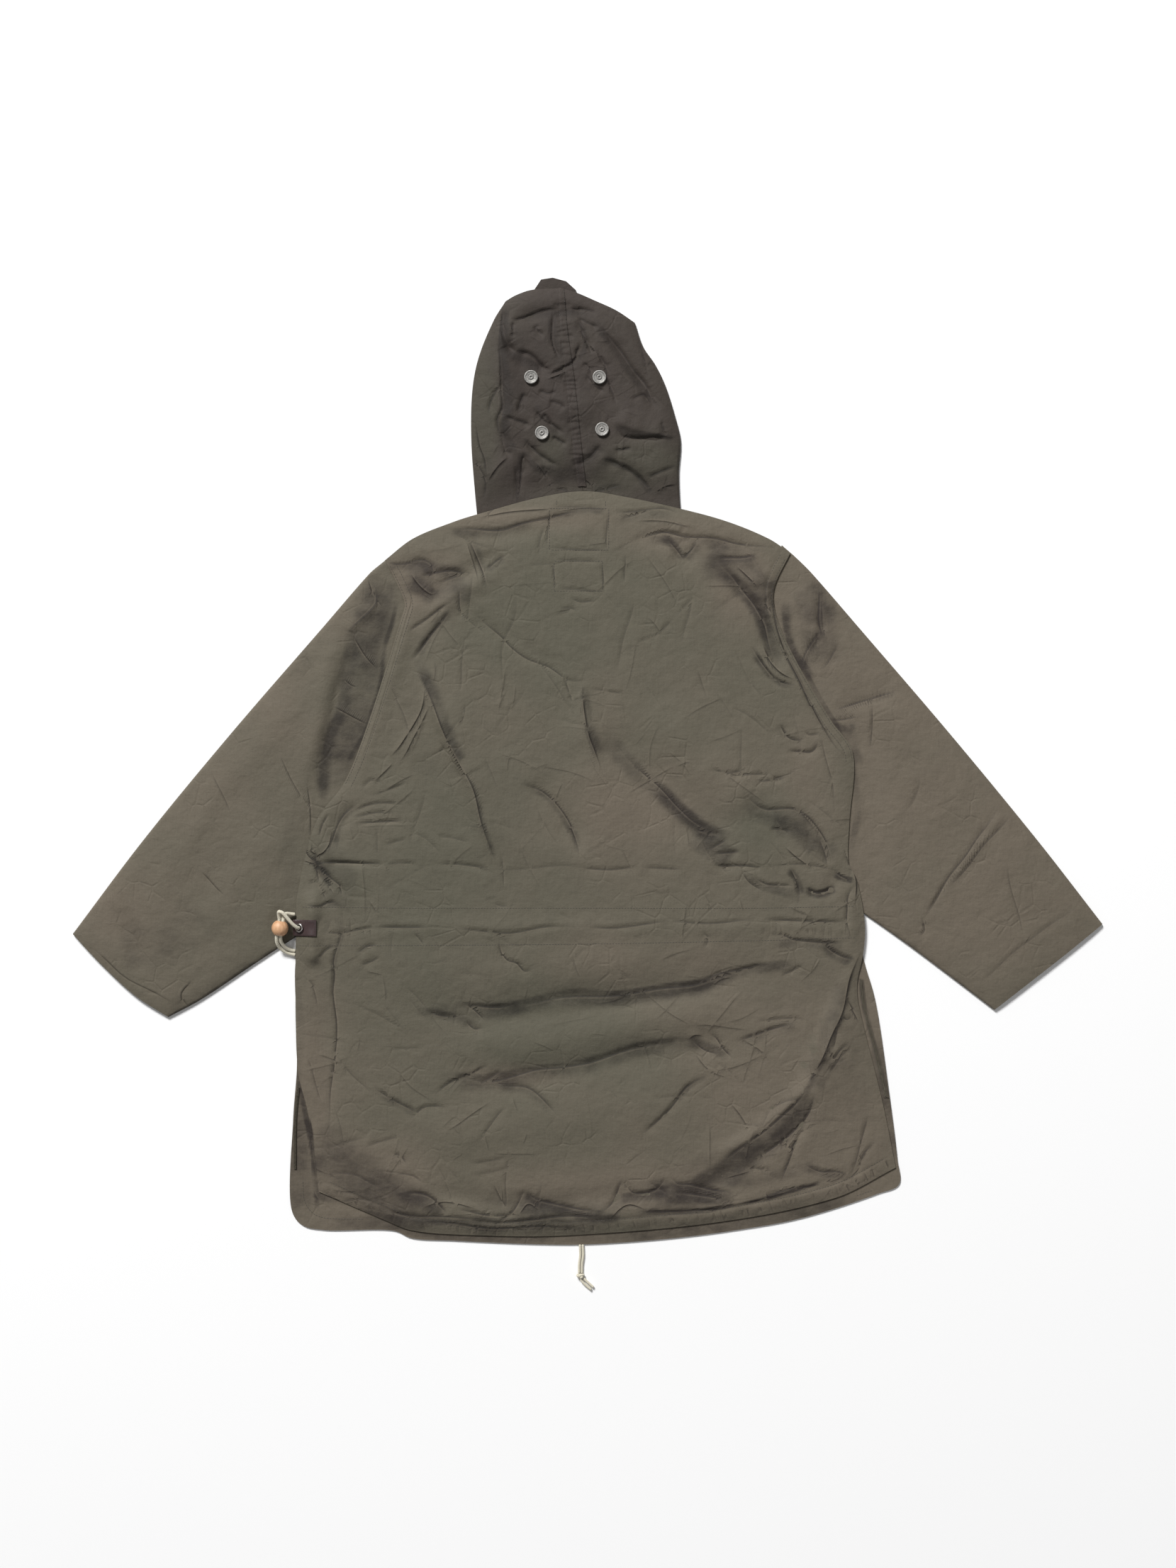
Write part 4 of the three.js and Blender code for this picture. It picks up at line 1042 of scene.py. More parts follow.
# Finer creases, placed one by one
BACK_CREASES = [
    # Neck and shoulders
    crease(-1.36, 3.4, (-162, 257), (-129, 258), (-97, 258), (-69, 265), (-43, 269), (-14, 276),
           (8, 279)),
    crease(1.02, 3.4, (-125, 272), (-90, 278), (-60, 280), (-34, 281)),
    crease(-0.85, 2.5, (-118, 268), (-104, 282), (-86, 288)),
    crease(-0.94, 2.5, (-228, 223), (-206, 219), (-185, 222), (-174, 217), (-172, 209), (-178, 199)),
    crease(1.36, 3.4, (-199, 209), (-190, 195), (-176, 185), (-170, 188)),
    crease(-1.53, 3.4, (-192, 202), (-174, 206), (-150, 211), (-130, 206)),
    crease(-1.02, 2.5, (-168, 196), (-150, 204), (-128, 212)),
    crease(-1.19, 2.5, (-152, 177), (-165, 168), (-180, 155), (-203, 141)),
    crease(-1.7, 4.2, (-154, 168), (-165, 148), (-180, 128), (-197, 108)),
    crease(-1.02, 2.5, (-143, 192), (-143, 170), (-138, 158)),
    crease(-1.36, 3.4, (-131, 250), (-122, 228), (-116, 206), (-115, 190)),
    crease(-1.1, 3.4, (-113, 214), (-101, 223), (-90, 230)),
    crease(0.85, 3.4, (-134, 246), (-128, 222), (-124, 200)),
    crease(-0.68, 2.5, (-46, 262), (-51, 240), (-53, 226)),
    crease(-0.77, 3.4, (45, 232), (43, 218), (40, 198)),
    crease(-1.27, 2.5, (36, 244), (60, 247), (88, 253), (109, 249), (141, 248), (169, 243), (218, 235)),
    crease(-1.02, 2.5, (25, 279), (53, 278), (81, 279), (104, 273)),
    crease(-0.85, 2.5, (36, 271), (53, 274), (72, 279)),
    crease(0.77, 3.4, (52, 268), (90, 265), (122, 260)),
    crease(-1.1, 2.5, (92, 245), (100, 236), (109, 222)),
    crease(-1.1, 2.5, (123, 244), (116, 232), (108, 222)),
    crease(-1.27, 2.5, (142, 226), (158, 228), (178, 228), (193, 230)),
    crease(1.19, 3.4, (166, 220), (178, 206), (190, 192)),
    crease(-1.87, 4.2, (144, 224), (158, 209), (169, 192), (184, 174), (196, 152), (203, 130),
           (212, 106)),
    crease(-1.02, 2.5, (196, 182), (200, 170), (205, 162)),
    crease(-0.85, 2.5, (-22, 180), (-10, 177), (10, 180)),
    crease(-0.77, 2.5, (-34, 167), (-20, 169), (-12, 166)),
    crease(-0.51, 2.5, (-36, 159), (-30, 163), (-20, 165)),
    # Middle of the back
    crease(-1.1, 2, (-134, 171), (-105, 148), (-94, 138), (-85, 128), (-65, 113), (-45, 103),
           (-22, 89), (5, 92)),
    crease(-0.59, 2, (-152, 171), (-135, 158), (-112, 144)),
    crease(-0.85, 2, (-27, 93), (-23, 80), (-18, 64)),
    crease(1.87, 6, (-8, 90), (-7, 62), (-3, 44), (3, 28), (10, 12), (17, -12), gentle=3),
    crease(-0.59, 2.5, (-136, 142), (-138, 110), (-141, 85), (-148, 68)),
    crease(-0.59, 2.5, (-138, 66), (-139, 50), (-143, 36)),
    crease(-0.51, 2.5, (-80, 188), (-82, 160), (-92, 130), (-95, 104), (-97, 80)),
    crease(2.21, 6.8, (-190, 108), (-182, 84), (-172, 58), (-152, 14), (-132, -22), (-122, -60),
           (-108, -94), (-98, -120), gentle=3),
    crease(1.36, 2.5, (-182, 84), (-185, 60), (-195, 40), (-207, 18), (-222, 4)),
    crease(1.1, 2.5, (-176, 62), (-191, 32), (-199, 12), (-208, 0)),
    crease(0.85, 2.5, (-216, 0), (-227, -11), (-237, -21)),
    crease(-1.02, 2.5, (-264, -58), (-250, -50), (-230, -47), (-204, -50)),
    crease(-0.94, 2.5, (-266, -65), (-240, -58), (-213, -58)),
    crease(-1.27, 2.5, (-262, -71), (-240, -68), (-203, -66)),
    crease(-0.68, 2.5, (-243, -39), (-215, -30), (-198, -24)),
    crease(-0.68, 2.5, (-252, -30), (-240, -20), (-226, -24)),
    crease(-0.68, 2.5, (-228, -93), (-214, -90), (-200, -88)),
    crease(-0.59, 2.5, (-170, -87), (-150, -87), (-132, -90)),
    crease(-1.7, 4.2, (-288, -104), (-282, -80), (-272, -60), (-258, -46)),
    crease(-1.19, 2.5, (-300, -88), (-297, -72), (-288, -58)),
    crease(-1.87, 5.1, (-82, -24), (-56, -33), (-45, -42), (-34, -54), (-22, -70), (-10, -98),
           (-7, -114)),
    crease(-0.68, 2.5, (-93, -102), (-92, -120), (-93, -142)),
    crease(-0.77, 2.5, (-106, -158), (-97, -162), (-90, -162)),
    crease(-0.59, 2.5, (52, 184), (45, 150), (38, 120), (32, 98)),
    crease(-0.59, 3.4, (116, 192), (112, 160), (107, 126)),
    crease(-0.51, 2.5, (124, 102), (127, 86), (130, 72)),
    crease(-0.68, 2, (2, 80), (20, 78), (35, 76), (44, 81)),
    crease(-0.59, 2.5, (64, 134), (82, 142), (98, 158)),
    # Right side
    crease(-1.87, 3.4, (184, 128), (192, 115), (200, 103), (208, 92), (217, 85), (234, 81)),
    crease(1.36, 4.2, (196, 130), (205, 112), (218, 96), (232, 88)),
    crease(-1.27, 4.2, (212, 42), (222, 26), (230, 21), (242, 21)),
    crease(-1.7, 3.4, (222, 8), (240, 8), (250, 9), (256, 15), (258, 24)),
    crease(-0.77, 2.5, (240, 32), (247, 27), (262, 30)),
    crease(-0.68, 3.4, (261, 32), (266, 8), (272, -20), (275, -52)),
    crease(-1.02, 2.5, (136, -8), (160, -12), (180, -9)),
    crease(-1.02, 2.5, (157, -15), (185, -16), (204, -17)),
    crease(-1.02, 2.5, (186, -25), (205, -23), (224, -18)),
    crease(-2.72, 8.5, (40, 10), (60, -12), (80, -33), (98, -52), (118, -70), (148, -82), gentle=2.5),
    crease(-1.36, 3.4, (118, -78), (132, -80), (150, -80)),
    crease(-1.1, 2.5, (136, -98), (146, -92), (157, -86)),
    crease(-1.27, 2.5, (138, -103), (155, -102), (174, -101)),
    crease(-1.7, 6.8, (170, -34), (196, -54), (226, -56), (246, -66), (264, -88),
           (275, -118), gentle=3),
    crease(-1.1, 2.5, (200, -78), (215, -79), (230, -81)),
    crease(1.1, 2.5, (220, -95), (235, -108), (253, -121)),
    crease(-1.02, 3.4, (258, -86), (266, -104), (270, -118)),
    crease(-1.27, 2.5, (186, -128), (200, -138), (215, -141), (232, -141)),
    crease(-1.1, 2.5, (172, -122), (180, -134), (196, -146)),
    crease(-1.53, 4.2, (226, -120), (232, -134), (237, -152)),
    crease(-2.89, 5.1, (240, -142), (252, -147), (266, -145), (280, -136)),
    crease(-2.55, 3.4, (276, -122), (286, -128), (296, -132)),
    crease(-2.04, 2.5, (287, -96), (292, -110), (297, -120)),
    crease(1.7, 3.4, (286, -100), (295, -116), (299, -134), (297, -160)),
    crease(-1.87, 2.5, (298, -136), (291, -150), (289, -166), (288, -178), (292, -194)),
    # Pleat crease above the channel
    crease(-2.4, 2.4, (-310, -119), (-284, -115), (-260, -113), (-232, -114), (-218, -116)),
    crease(-0.77, 2, (-224, -116), (-206, -115), (-188, -117)),
    crease(-1.1, 2, (-168, -116), (-145, -116), (-125, -118), (-104, -120)),
    crease(-0.51, 1.9, (-104, -120), (-60, -121), (-20, -119), (4, -119)),
    crease(-1.1, 1.9, (-12, -119), (30, -120), (60, -119)),
    crease(-0.85, 1.9, (62, -121), (85, -122), (108, -122)),
    crease(-1.7, 2.2, (138, -113), (147, -117), (175, -117), (202, -120)),
    crease(-0.77, 2, (196, -119), (230, -117), (260, -119), (284, -122)),
    # Pinch at the left edge
    crease(-2.2, 3.2, (-303, -112), (-296, -122), (-284, -132), (-275, -140), (-273, -156)),
    crease(-2.0, 2.2, (-301, -104), (-300, -120), (-298, -138)),
    crease(1.8, 3.0, (-316, -112), (-302, -117), (-290, -121)),
    crease(-1.6, 2.2, (-300, -119), (-290, -134), (-282, -150)),
    crease(-1.0, 2.2, (-306, -132), (-296, -146), (-292, -156)),
    crease(-1.36, 2.5, (-297, -117), (-308, -110), (-317, -96)),
    crease(1.36, 2.5, (-308, -90), (-306, -102), (-297, -106), (-289, -96), (-287, -78)),
    crease(-1.02, 2.5, (-297, -120), (-292, -130), (-288, -142)),
    crease(-1.36, 2.5, (-318, -161), (-300, -164), (-290, -160), (-276, -158)),
    crease(-0.85, 2.5, (-312, -140), (-302, -136), (-294, -142)),
    # Creases along the cord in the channel
    crease(-1.02, 2, (-300, -194), (-276, -192), (-257, -187), (-233, -184)),
    crease(-1.27, 2, (-240, -184), (-206, -187), (-176, -187)),
    crease(-1.19, 2, (-156, -187), (-115, -190), (-85, -191), (-51, -187), (-13, -187)),
    crease(-1.1, 2, (-8, -185), (14, -185), (56, -184), (94, -181)),
    crease(-1.02, 2, (84, -182), (141, -180), (173, -178), (192, -179)),
    crease(-1.44, 2.2, (188, -179), (221, -179), (260, -180), (292, -178)),
    # Below the channel
    crease(-1.27, 2.2, (-258, -216), (-246, -207), (-234, -205)),
    crease(-1.1, 2.2, (-253, -229), (-240, -223), (-229, -217)),
    crease(-1.1, 2.2, (-299, -223), (-290, -212), (-280, -206)),
    crease(-0.77, 2.2, (-196, -193), (-190, -198), (-183, -206)),
    crease(-1.7, 3.4, (-99, -196), (-95, -212), (-88, -222), (-78, -226), (-68, -236), (-54, -231)),
    crease(-0.85, 2.5, (126, -190), (134, -198), (132, -210)),
    crease(-1.53, 2.5, (196, -196), (214, -195), (230, -202), (262, -203), (290, -200)),
    crease(-1.87, 3.4, (262, -203), (276, -212), (288, -218), (300, -222)),
    # Upper trough of the skirt
    crease(-2.55, 7.6, (-96, -274), (-60, -272), (-30, -267), (0, -263), (60, -259), (112, -253),
           (140, -243), (176, -233), (212, -229), gentle=2.5),
    crease(-1.7, 2, (-142, -272), (-120, -274), (-100, -274), (-78, -272)),
    crease(-1.53, 2.5, (128, -246), (150, -236), (170, -232), (206, -227)),
    crease(-1.7, 2.5, (-143, -270), (-129, -278), (-116, -289)),
    crease(-1.27, 3.4, (-182, -279), (-162, -287), (-138, -285)),
    crease(-1.19, 3.4, (-138, -291), (-128, -298), (-118, -296)),
    crease(0.77, 2.2, (140, -249), (150, -242), (164, -239)),
    crease(-0.94, 2, (217, -242), (230, -236), (242, -228)),
    crease(-0.51, 2, (-226, -322), (-206, -322), (-180, -323)),
    # Lower trough
    crease(-2.21, 6.8, (-158, -350), (-130, -356), (-106, -357), (-60, -347), (-28, -345), (6, -336),
           (44, -322), (84, -318), (116, -314), gentle=2.5),
    crease(-1.27, 2, (-172, -377), (-150, -360), (-130, -350), (-106, -338)),
    crease(-1.02, 2, (-122, -361), (-105, -352), (-93, -343)),
    crease(-1.02, 4.2, (-97, -362), (-70, -365), (-55, -375), (-34, -397)),
    crease(0.85, 2, (110, -313), (117, -307), (128, -306)),
    crease(-1.27, 2.5, (116, -314), (130, -322), (148, -326)),
    crease(-1.44, 2.5, (134, -304), (143, -308), (151, -319), (164, -332)),
    crease(-1.36, 5.1, (160, -313), (200, -303), (230, -295)),
    crease(-0.94, 2, (186, -291), (210, -290), (242, -290)),
    crease(0.77, 2.5, (118, -324), (138, -345), (158, -353)),
    crease(0.77, 2.5, (172, -310), (190, -322), (204, -335)),
    crease(0.51, 2.5, (112, -296), (140, -294), (180, -298)),
    # Below the troughs
    crease(-1.19, 4.2, (-238, -364), (-215, -378), (-200, -388), (-190, -396)),
    crease(-1.19, 3.4, (-197, -402), (-185, -390), (-175, -388), (-156, -388)),
    crease(-0.59, 3.4, (-282, -328), (-262, -350), (-238, -372)),
    crease(-0.94, 2, (-124, -428), (-112, -410), (-100, -393), (-88, -384)),
    crease(0.68, 2.5, (-162, -414), (-140, -400), (-120, -385), (-108, -377)),
    crease(-0.68, 2, (-134, -449), (-110, -445), (-88, -441)),
    crease(-0.51, 2, (-128, -461), (-108, -458), (-84, -454)),
    crease(-0.68, 2.5, (-86, -436), (-90, -470), (-90, -504)),
    crease(-0.85, 2.5, (-104, -470), (-97, -486), (-88, -504)),
    crease(-0.77, 2, (-250, -432), (-230, -424), (-208, -420)),
    crease(-0.59, 2, (-294, -434), (-270, -425), (-244, -418)),
    crease(-0.68, 2, (-294, -463), (-260, -462), (-240, -470), (-224, -477)),
    crease(-0.85, 2.5, (-214, -459), (-195, -464), (-184, -472)),
    crease(-1.02, 2.5, (-222, -434), (-208, -442), (-202, -450)),
    crease(-1.87, 3.4, (54, -422), (70, -410), (85, -398), (100, -380), (112, -366), (138, -348)),
    crease(0.85, 2.5, (158, -377), (168, -392), (175, -405), (182, -419)),
    crease(0.51, 3.4, (134, -400), (134, -430), (138, -458)),
    # Lap down the right side
    crease(2.55, 4.2, (306, -204), (300, -224), (290, -254), (279, -284), (268, -310), (260, -332),
           (252, -356), (246, -370), gentle=3),
    crease(-1.19, 2.5, (262, -320), (270, -326), (274, -332), (282, -322), (294, -313)),
    crease(-1.7, 3.4, (246, -370), (254, -350), (264, -330)),
    crease(-1.1, 2.5, (281, -283), (287, -287), (294, -283)),
    crease(-1.19, 2.5, (288, -264), (296, -280), (301, -292)),
    crease(-1.1, 2.5, (278, -292), (276, -310), (272, -324)),
    crease(-0.94, 3.4, (296, -318), (284, -328), (268, -350)),
    crease(-2.72, 8.5, (250, -358), (238, -376), (216, -398), (180, -424), (144, -450), gentle=2),
    crease(-1.7, 3.4, (256, -366), (246, -392), (230, -414), (204, -434), (176, -452)),
    crease(-1.36, 2.2, (216, -414), (221, -430), (226, -435), (233, -424), (243, -404)),
    crease(-1.44, 2.2, (242, -404), (232, -428), (225, -448), (217, -474)),
    crease(-1.02, 2.5, (170, -450), (188, -455), (208, -458)),
    crease(0.77, 2.5, (152, -464), (166, -460), (184, -456)),
    crease(-1.02, 2.2, (313, -388), (306, -420), (300, -445), (293, -468)),
    crease(-1.27, 2.5, (322, -424), (308, -440), (303, -455), (294, -468)),
    crease(-1.27, 3.4, (242, -451), (262, -458), (280, -458), (294, -464)),
    crease(-0.68, 2.5, (258, -466), (276, -470), (290, -462)),
    crease(-0.68, 2.5, (202, -392), (226, -380), (244, -380)),
    # Crumpled band above the hem
    crease(-2.04, 4.2, (-204, -484), (-185, -485), (-172, -490), (-156, -508)),
    crease(-1.19, 2.5, (-302, -479), (-284, -490), (-266, -497), (-240, -508)),
    crease(-0.85, 2.5, (-276, -494), (-256, -488), (-240, -490)),
    crease(-1.87, 3.4, (-100, -514), (-84, -502), (-74, -488), (-67, -477)),
    crease(-2.21, 5.1, (-68, -476), (-60, -487), (-48, -494), (-20, -500), (16, -501)),
    crease(-2.04, 3.4, (16, -502), (30, -491), (37, -472), (42, -464)),
    crease(-2.55, 6, (41, -465), (49, -480), (62, -484), (80, -480), (90, -463)),
    crease(-1.87, 4.2, (90, -463), (101, -474), (116, -474), (142, -478), (166, -481)),
    crease(-1.53, 4.2, (96, -484), (120, -484), (150, -488), (168, -496)),
    crease(1.53, 3.4, (-80, -508), (-66, -494), (-52, -504)),
    crease(1.53, 3.4, (24, -510), (44, -494), (66, -502)),
    crease(-1.36, 2.5, (-140, -512), (-60, -514), (0, -508), (26, -520)),
    crease(-1.19, 3.4, (-240, -500), (-200, -508), (-150, -511), (-100, -512)),
    crease(-1.7, 2.2, (52, -504), (80, -505), (120, -502), (150, -500), (172, -494)),
    crease(-1.87, 2.5, (164, -494), (186, -492), (206, -485), (232, -478), (252, -475), (268, -466)),
    crease(1.02, 3.4, (-186, -500), (-160, -492), (-120, -500)),
    # Left side and vent
    crease(-1.7, 3.4, (-274, -150), (-276, -195), (-281, -225), (-280, -240), (-284, -260),
           (-280, -300), (-282, -340), (-286, -380), (-291, -424)),
    crease(-0.68, 2.5, (-318, -240), (-306, -252), (-300, -280)),
    crease(-0.68, 2.5, (-312, -330), (-304, -350), (-296, -384)),
    # Right armhole seam and the hem's channel
    crease(-1.3, 1.5, *RIGHT_ARMHOLE),
    crease(-2.0, 2.2, (-196, -515), (-136, -519), (-60, -522), (-4, -521)),
    crease(-1.4, 2.4, (-150, -501), (-110, -506), (-70, -505)),
    crease(-1.2, 2.4, (-300, -500), (-262, -510), (-222, -516)),
    crease(1.0, 2.4, (120, -498), (180, -491), (240, -478)),
]


Shade = namedtuple("Shade", "strength toward away line")


def shade(strength, toward, away, *line):
    """A stroke of painted shade, with a width toward the light and another away from it."""
    return Shade(strength, toward, away, line)


def shades_drawn(shades, x, y):
    """How much painted shade some strokes put at each place."""
    light = np.ones(x.shape)
    for one in shades:
        line = line_of(one.line)
        near = near_line(line, 2.2 * max(one.toward, one.away), x, y)
        if not near[0].size:
            continue
        distance, _, lit, along = beside_line(line, x[near], y[near])
        width = np.where(lit > 0, one.toward, one.away)
        taper = ease(along / 0.2) * ease((1 - along) / 0.2)
        uneven = 0.9 + 0.1 * np.sin(along * 13 + line[0, 0])
        light[near] *= 1 - one.strength * taper * uneven * ease(1.4 - 1.1 * distance / width)
    return 1 - light


# Painted shade of the back's folds and troughs, and painted shadow beside its laps and edges, as strokes
BACK_SHADES = [
    # Neck and shoulders
    shade(0.52, 4, 9, (-165, 256), (-120, 256), (-75, 264), (-50, 268)),
    shade(0.52, 2, 7, (-60, 268), (-20, 276), (10, 281), (26, 279)),
    shade(0.59, 8, 10, (-188, 214), (-160, 213), (-134, 208)),
    shade(0.59, 3, 9, (-226, 222), (-200, 220), (-176, 222)),
    shade(0.52, 9, 12, (-202, 200), (-184, 190), (-168, 178)),
    shade(0.45, 5, 10, (-130, 250), (-120, 222), (-116, 190)),
    shade(0.52, 4, 8, (-114, 214), (-90, 230)),
    shade(0.45, 6, 9, (-152, 172), (-176, 138), (-196, 110)),
    shade(0.65, 4, 9, (84, 252), (98, 242), (112, 222)),
    shade(0.45, 4, 8, (124, 244), (116, 232), (108, 222)),
    shade(0.39, 5, 10, (25, 272), (60, 275), (104, 272)),
    shade(0.39, 3, 9, (50, 248), (140, 246), (220, 234)),
    shade(0.62, 8, 12, (144, 226), (158, 208), (172, 190), (188, 172), (197, 150), (205, 126),
          (218, 92)),
    shade(0.39, 10, 10, (176, 190), (190, 166), (200, 130)),
    shade(0.45, 3, 7, (142, 228), (170, 228), (196, 230)),
    # Middle
    shade(0.62, 2.5, 14, (-196, 122), (-188, 100), (-180, 80), (-168, 50), (-150, 12), (-132, -24)),
    shade(0.65, 1.5, 6, (-142, -6), (-130, -28), (-122, -60), (-110, -90), (-100, -116)),
    shade(0.33, 10, 8, (-134, -50), (-124, -68), (-120, -84)),
    shade(0.55, 3, 11, (-8, 92), (-7, 62), (-2, 40), (6, 20), (14, -6)),
    shade(0.59, 4, 7, (-76, -26), (-52, -36), (-34, -55), (-18, -80), (-8, -112)),
    shade(0.42, 13, 15, (6, 48), (24, 24), (50, -4), (80, -36), (112, -64), (150, -86), (176, -96)),
    shade(0.60, 9, 12, (70, -26), (86, -40), (104, -56), (124, -72), (146, -80), (166, -84)),
    shade(0.65, 14, 20, (110, -78), (136, -90), (168, -112)),
    shade(0.54, 10, 18, (166, -36), (196, -56), (232, -64), (258, -88), (274, -122)),
    shade(0.45, 12, 14, (200, -70), (236, -82), (262, -106)),
    shade(0.30, 5, 8, (212, 42), (224, 26), (242, 21)),
    shade(0.60, 3, 7, (186, 126), (200, 103), (216, 86), (236, 82)),
    shade(0.65, 5, 7, (224, -118), (232, -134), (237, -154)),
    shade(0.52, 6, 8, (176, -122), (190, -136), (214, -146), (240, -150)),
    shade(0.95, 4, 7, (240, -143), (256, -147), (280, -137)),
    shade(0.95, 4, 5, (274, -124), (288, -129), (298, -131)),
    shade(0.52, 6, 10, (200, -204), (236, -202), (292, -204)),
    shade(0.65, 5, 10, (262, -206), (286, -216), (300, -224)),
    shade(0.52, 4, 6, (-284, -100), (-276, -66), (-258, -46)),
    shade(0.65, 4, 5, (-312, -108), (-300, -116), (-284, -130)),
    # Skirt
    shade(0.72, 5, 18, (-150, -274), (-110, -272), (-60, -267), (-30, -262), (0, -259), (60, -256),
          (112, -250), (140, -241), (176, -232)),
    shade(0.60, 4, 12, (60, -256), (112, -250), (140, -241), (176, -231), (226, -226), (250, -220)),
    shade(0.52, 5, 9, (-200, -274), (-160, -284), (-118, -296)),
    shade(0.39, 6, 14, (-190, -272), (-130, -276), (-60, -270)),
    shade(0.58, 5, 18, (-190, -344), (-160, -348), (-130, -353), (-100, -350), (-60, -344), (-28, -341),
          (6, -332), (44, -319), (84, -315), (120, -311), (150, -306)),
    shade(0.45, 5, 10, (-100, -360), (-66, -366), (-34, -396)),
    shade(0.59, 5, 9, (106, -312), (140, -318), (164, -330)),
    shade(0.45, 6, 10, (160, -312), (200, -303), (234, -294)),
    shade(0.45, 6, 8, (-236, -364), (-206, -384), (-188, -396)),
    shade(0.52, 3, 5, (96, -386), (112, -366), (138, -348)),
    shade(0.45, 14, 10, (292, -232), (276, -276), (256, -334), (246, -364)),
    shade(0.34, 1.5, 4, (302, -220), (282, -282), (266, -318), (252, -358)),
    shade(0.42, 2, 7, (270, -322), (262, -338), (250, -358), (236, -380)),
    shade(0.58, 6, 15, (240, -376), (220, -398), (192, -421), (160, -443),
          (128, -466), (98, -486)),
    shade(0.50, 10, 12, (254, -366), (232, -398), (206, -426), (174, -452), (146, -478)),
    shade(0.59, 6, 8, (240, -450), (264, -457), (296, -464)),
    shade(0.39, 5, 8, (256, -370), (268, -346), (288, -322)),
    # Above the hem
    shade(0.62, 4, 12, (-206, -484), (-176, -488), (-156, -508)),
    shade(0.85, 3, 9, (-70, -480), (-56, -490), (-30, -498)),
    shade(0.59, 3, 8, (-40, -498), (0, -502), (24, -500)),
    shade(0.75, 5, 10, (30, -486), (50, -484), (76, -483), (98, -476)),
    shade(0.78, 3, 9, (88, -476), (120, -476), (170, -482)),
    shade(0.78, 5, 6, (84, -492), (124, -488), (172, -494)),
    shade(0.95, 2, 4, (50, -504), (120, -502), (176, -493)),
    shade(0.95, 2, 4, (164, -494), (206, -486), (270, -467)),
    shade(0.39, 4, 12, (-290, -484), (-230, -508), (-100, -516), (30, -516)),
    shade(0.95, 2.5, 2.5, (-316, -388), (-308, -430), (-303, -470), (-302, -500)),
    # Broad and faint, and the right armhole seam
    shade(0.62, 1.6, 2.4, *RIGHT_ARMHOLE),
    shade(0.50, 26, 26, (-216, 212), (-184, 204), (-152, 194), (-122, 198)),
    shade(0.56, 20, 32, (118, 236), (150, 226), (184, 202), (200, 152)),
    shade(0.38, 24, 24, (-312, -88), (-286, -108), (-274, -140), (-292, -172)),
    shade(0.62, 36, 34, (-320, -420), (-280, -446), (-246, -470), (-206, -500), (-160, -520)),
    shade(0.46, 20, 16, (-160, -500), (-90, -500), (-20, -504), (60, -500), (130, -486), (176, -472)),
    shade(0.26, 20, 40, (256, -350), (226, -386), (186, -420), (130, -456), (60, -480)),
    shade(0.22, 10, 30, (290, -300), (296, -380), (304, -450)),
    shade(0.30, 6, 6, (-321, -214), (-322, -300), (-322, -420), (-320, -500)),
    shade(0.25, 12, 12, (-240, -508), (-120, -520), (20, -524), (160, -512), (300, -478)),
    shade(0.20, 16, 4, (-294, -212), (-288, -260), (-286, -330), (-292, -400), (-300, -470)),
    shade(0.35, 9, 9, (150, -462), (180, -470), (220, -462), (262, -448)),
    shade(0.22, 16, 22, (-210, 96), (-196, 30), (-176, -10), (-170, -40)),
    # Left waist edge and above the hem again
    shade(0.80, 4, 5, (-306, -104), (-300, -117), (-292, -128), (-282, -136)),
    shade(0.55, 3, 5, (-276, -170), (-277, -200), (-282, -226), (-284, -262)),
    shade(0.45, 2, 5, (-316, -160), (-300, -164), (-288, -160), (-272, -158)),
    shade(0.80, 2, 3, (-200, -514), (-136, -519), (-60, -522), (0, -521)),
    shade(0.60, 3, 4, (-140, -507), (-80, -511), (-24, -511)),
    shade(0.80, 4, 8, (-22, -502), (10, -508), (40, -506)),
    shade(0.45, 8, 10, (-80, -496), (-56, -500), (-20, -506)),
    shade(0.50, 3, 8, (-216, -482), (-190, -490), (-166, -506)),
    shade(0.40, 6, 8, (60, -468), (100, -476), (150, -486)),
]
LABEL_RECTANGLES = [(-42.5, 23.6, 281.2, 235.0), (-37.3, 16.6, 222.4, 189.2)]


def rectangle(left, right, top, bottom):
    return [
        [(left, top), (right, top)],
        [(right, top), (right, bottom)],
        [(right, bottom), (left, bottom)],
        [(left, bottom), (left, top)],
    ]


for sides in LABEL_RECTANGLES:
    BACK_CREASES += [crease(-0.8, 1.2, *line) for line in rectangle(*sides)]

# Where the weft shows more, as centre, half sizes and strength; below zero it shows less
BACK_TINTS = [
    (70, -60, 90, 60, 0.6),
    (250, -20, 34, 90, 0.6),
    (20, 40, 26, 70, 0.3),
    (200, -330, 130, 120, 0.4),
    (60, -220, 140, 30, 0.35),
    (300, -420, 60, 80, 0.6),
    (-250, -470, 70, 50, 1.0),
    (-310, -380, 22, 90, 0.9),
    (60, -480, 190, 28, 0.8),
    (200, -420, 70, 60, 0.9),
    (-180, -140, 90, 110, -0.4),
    (-40, -320, 110, 60, -0.4),
    (-40, 150, 120, 90, -0.4),
    (180, -80, 60, 40, -0.5),
    (-190, 200, 50, 40, 0.9),
    (-60, 270, 110, 14, 0.6),
    (170, 200, 40, 50, 0.9),
    (90, 250, 60, 20, 0.6),
    (-80, -352, 50, 14, 0.9),
]


def tinted(base, tints, x, y):
    total = np.full(x.shape, float(base))
    for cx, cy, half_x, half_y, strength in tints:
        total += strength * np.exp(-((x - cx) / half_x) ** 2 - ((y - cy) / half_y) ** 2)
    return np.clip(total, 0, 1)


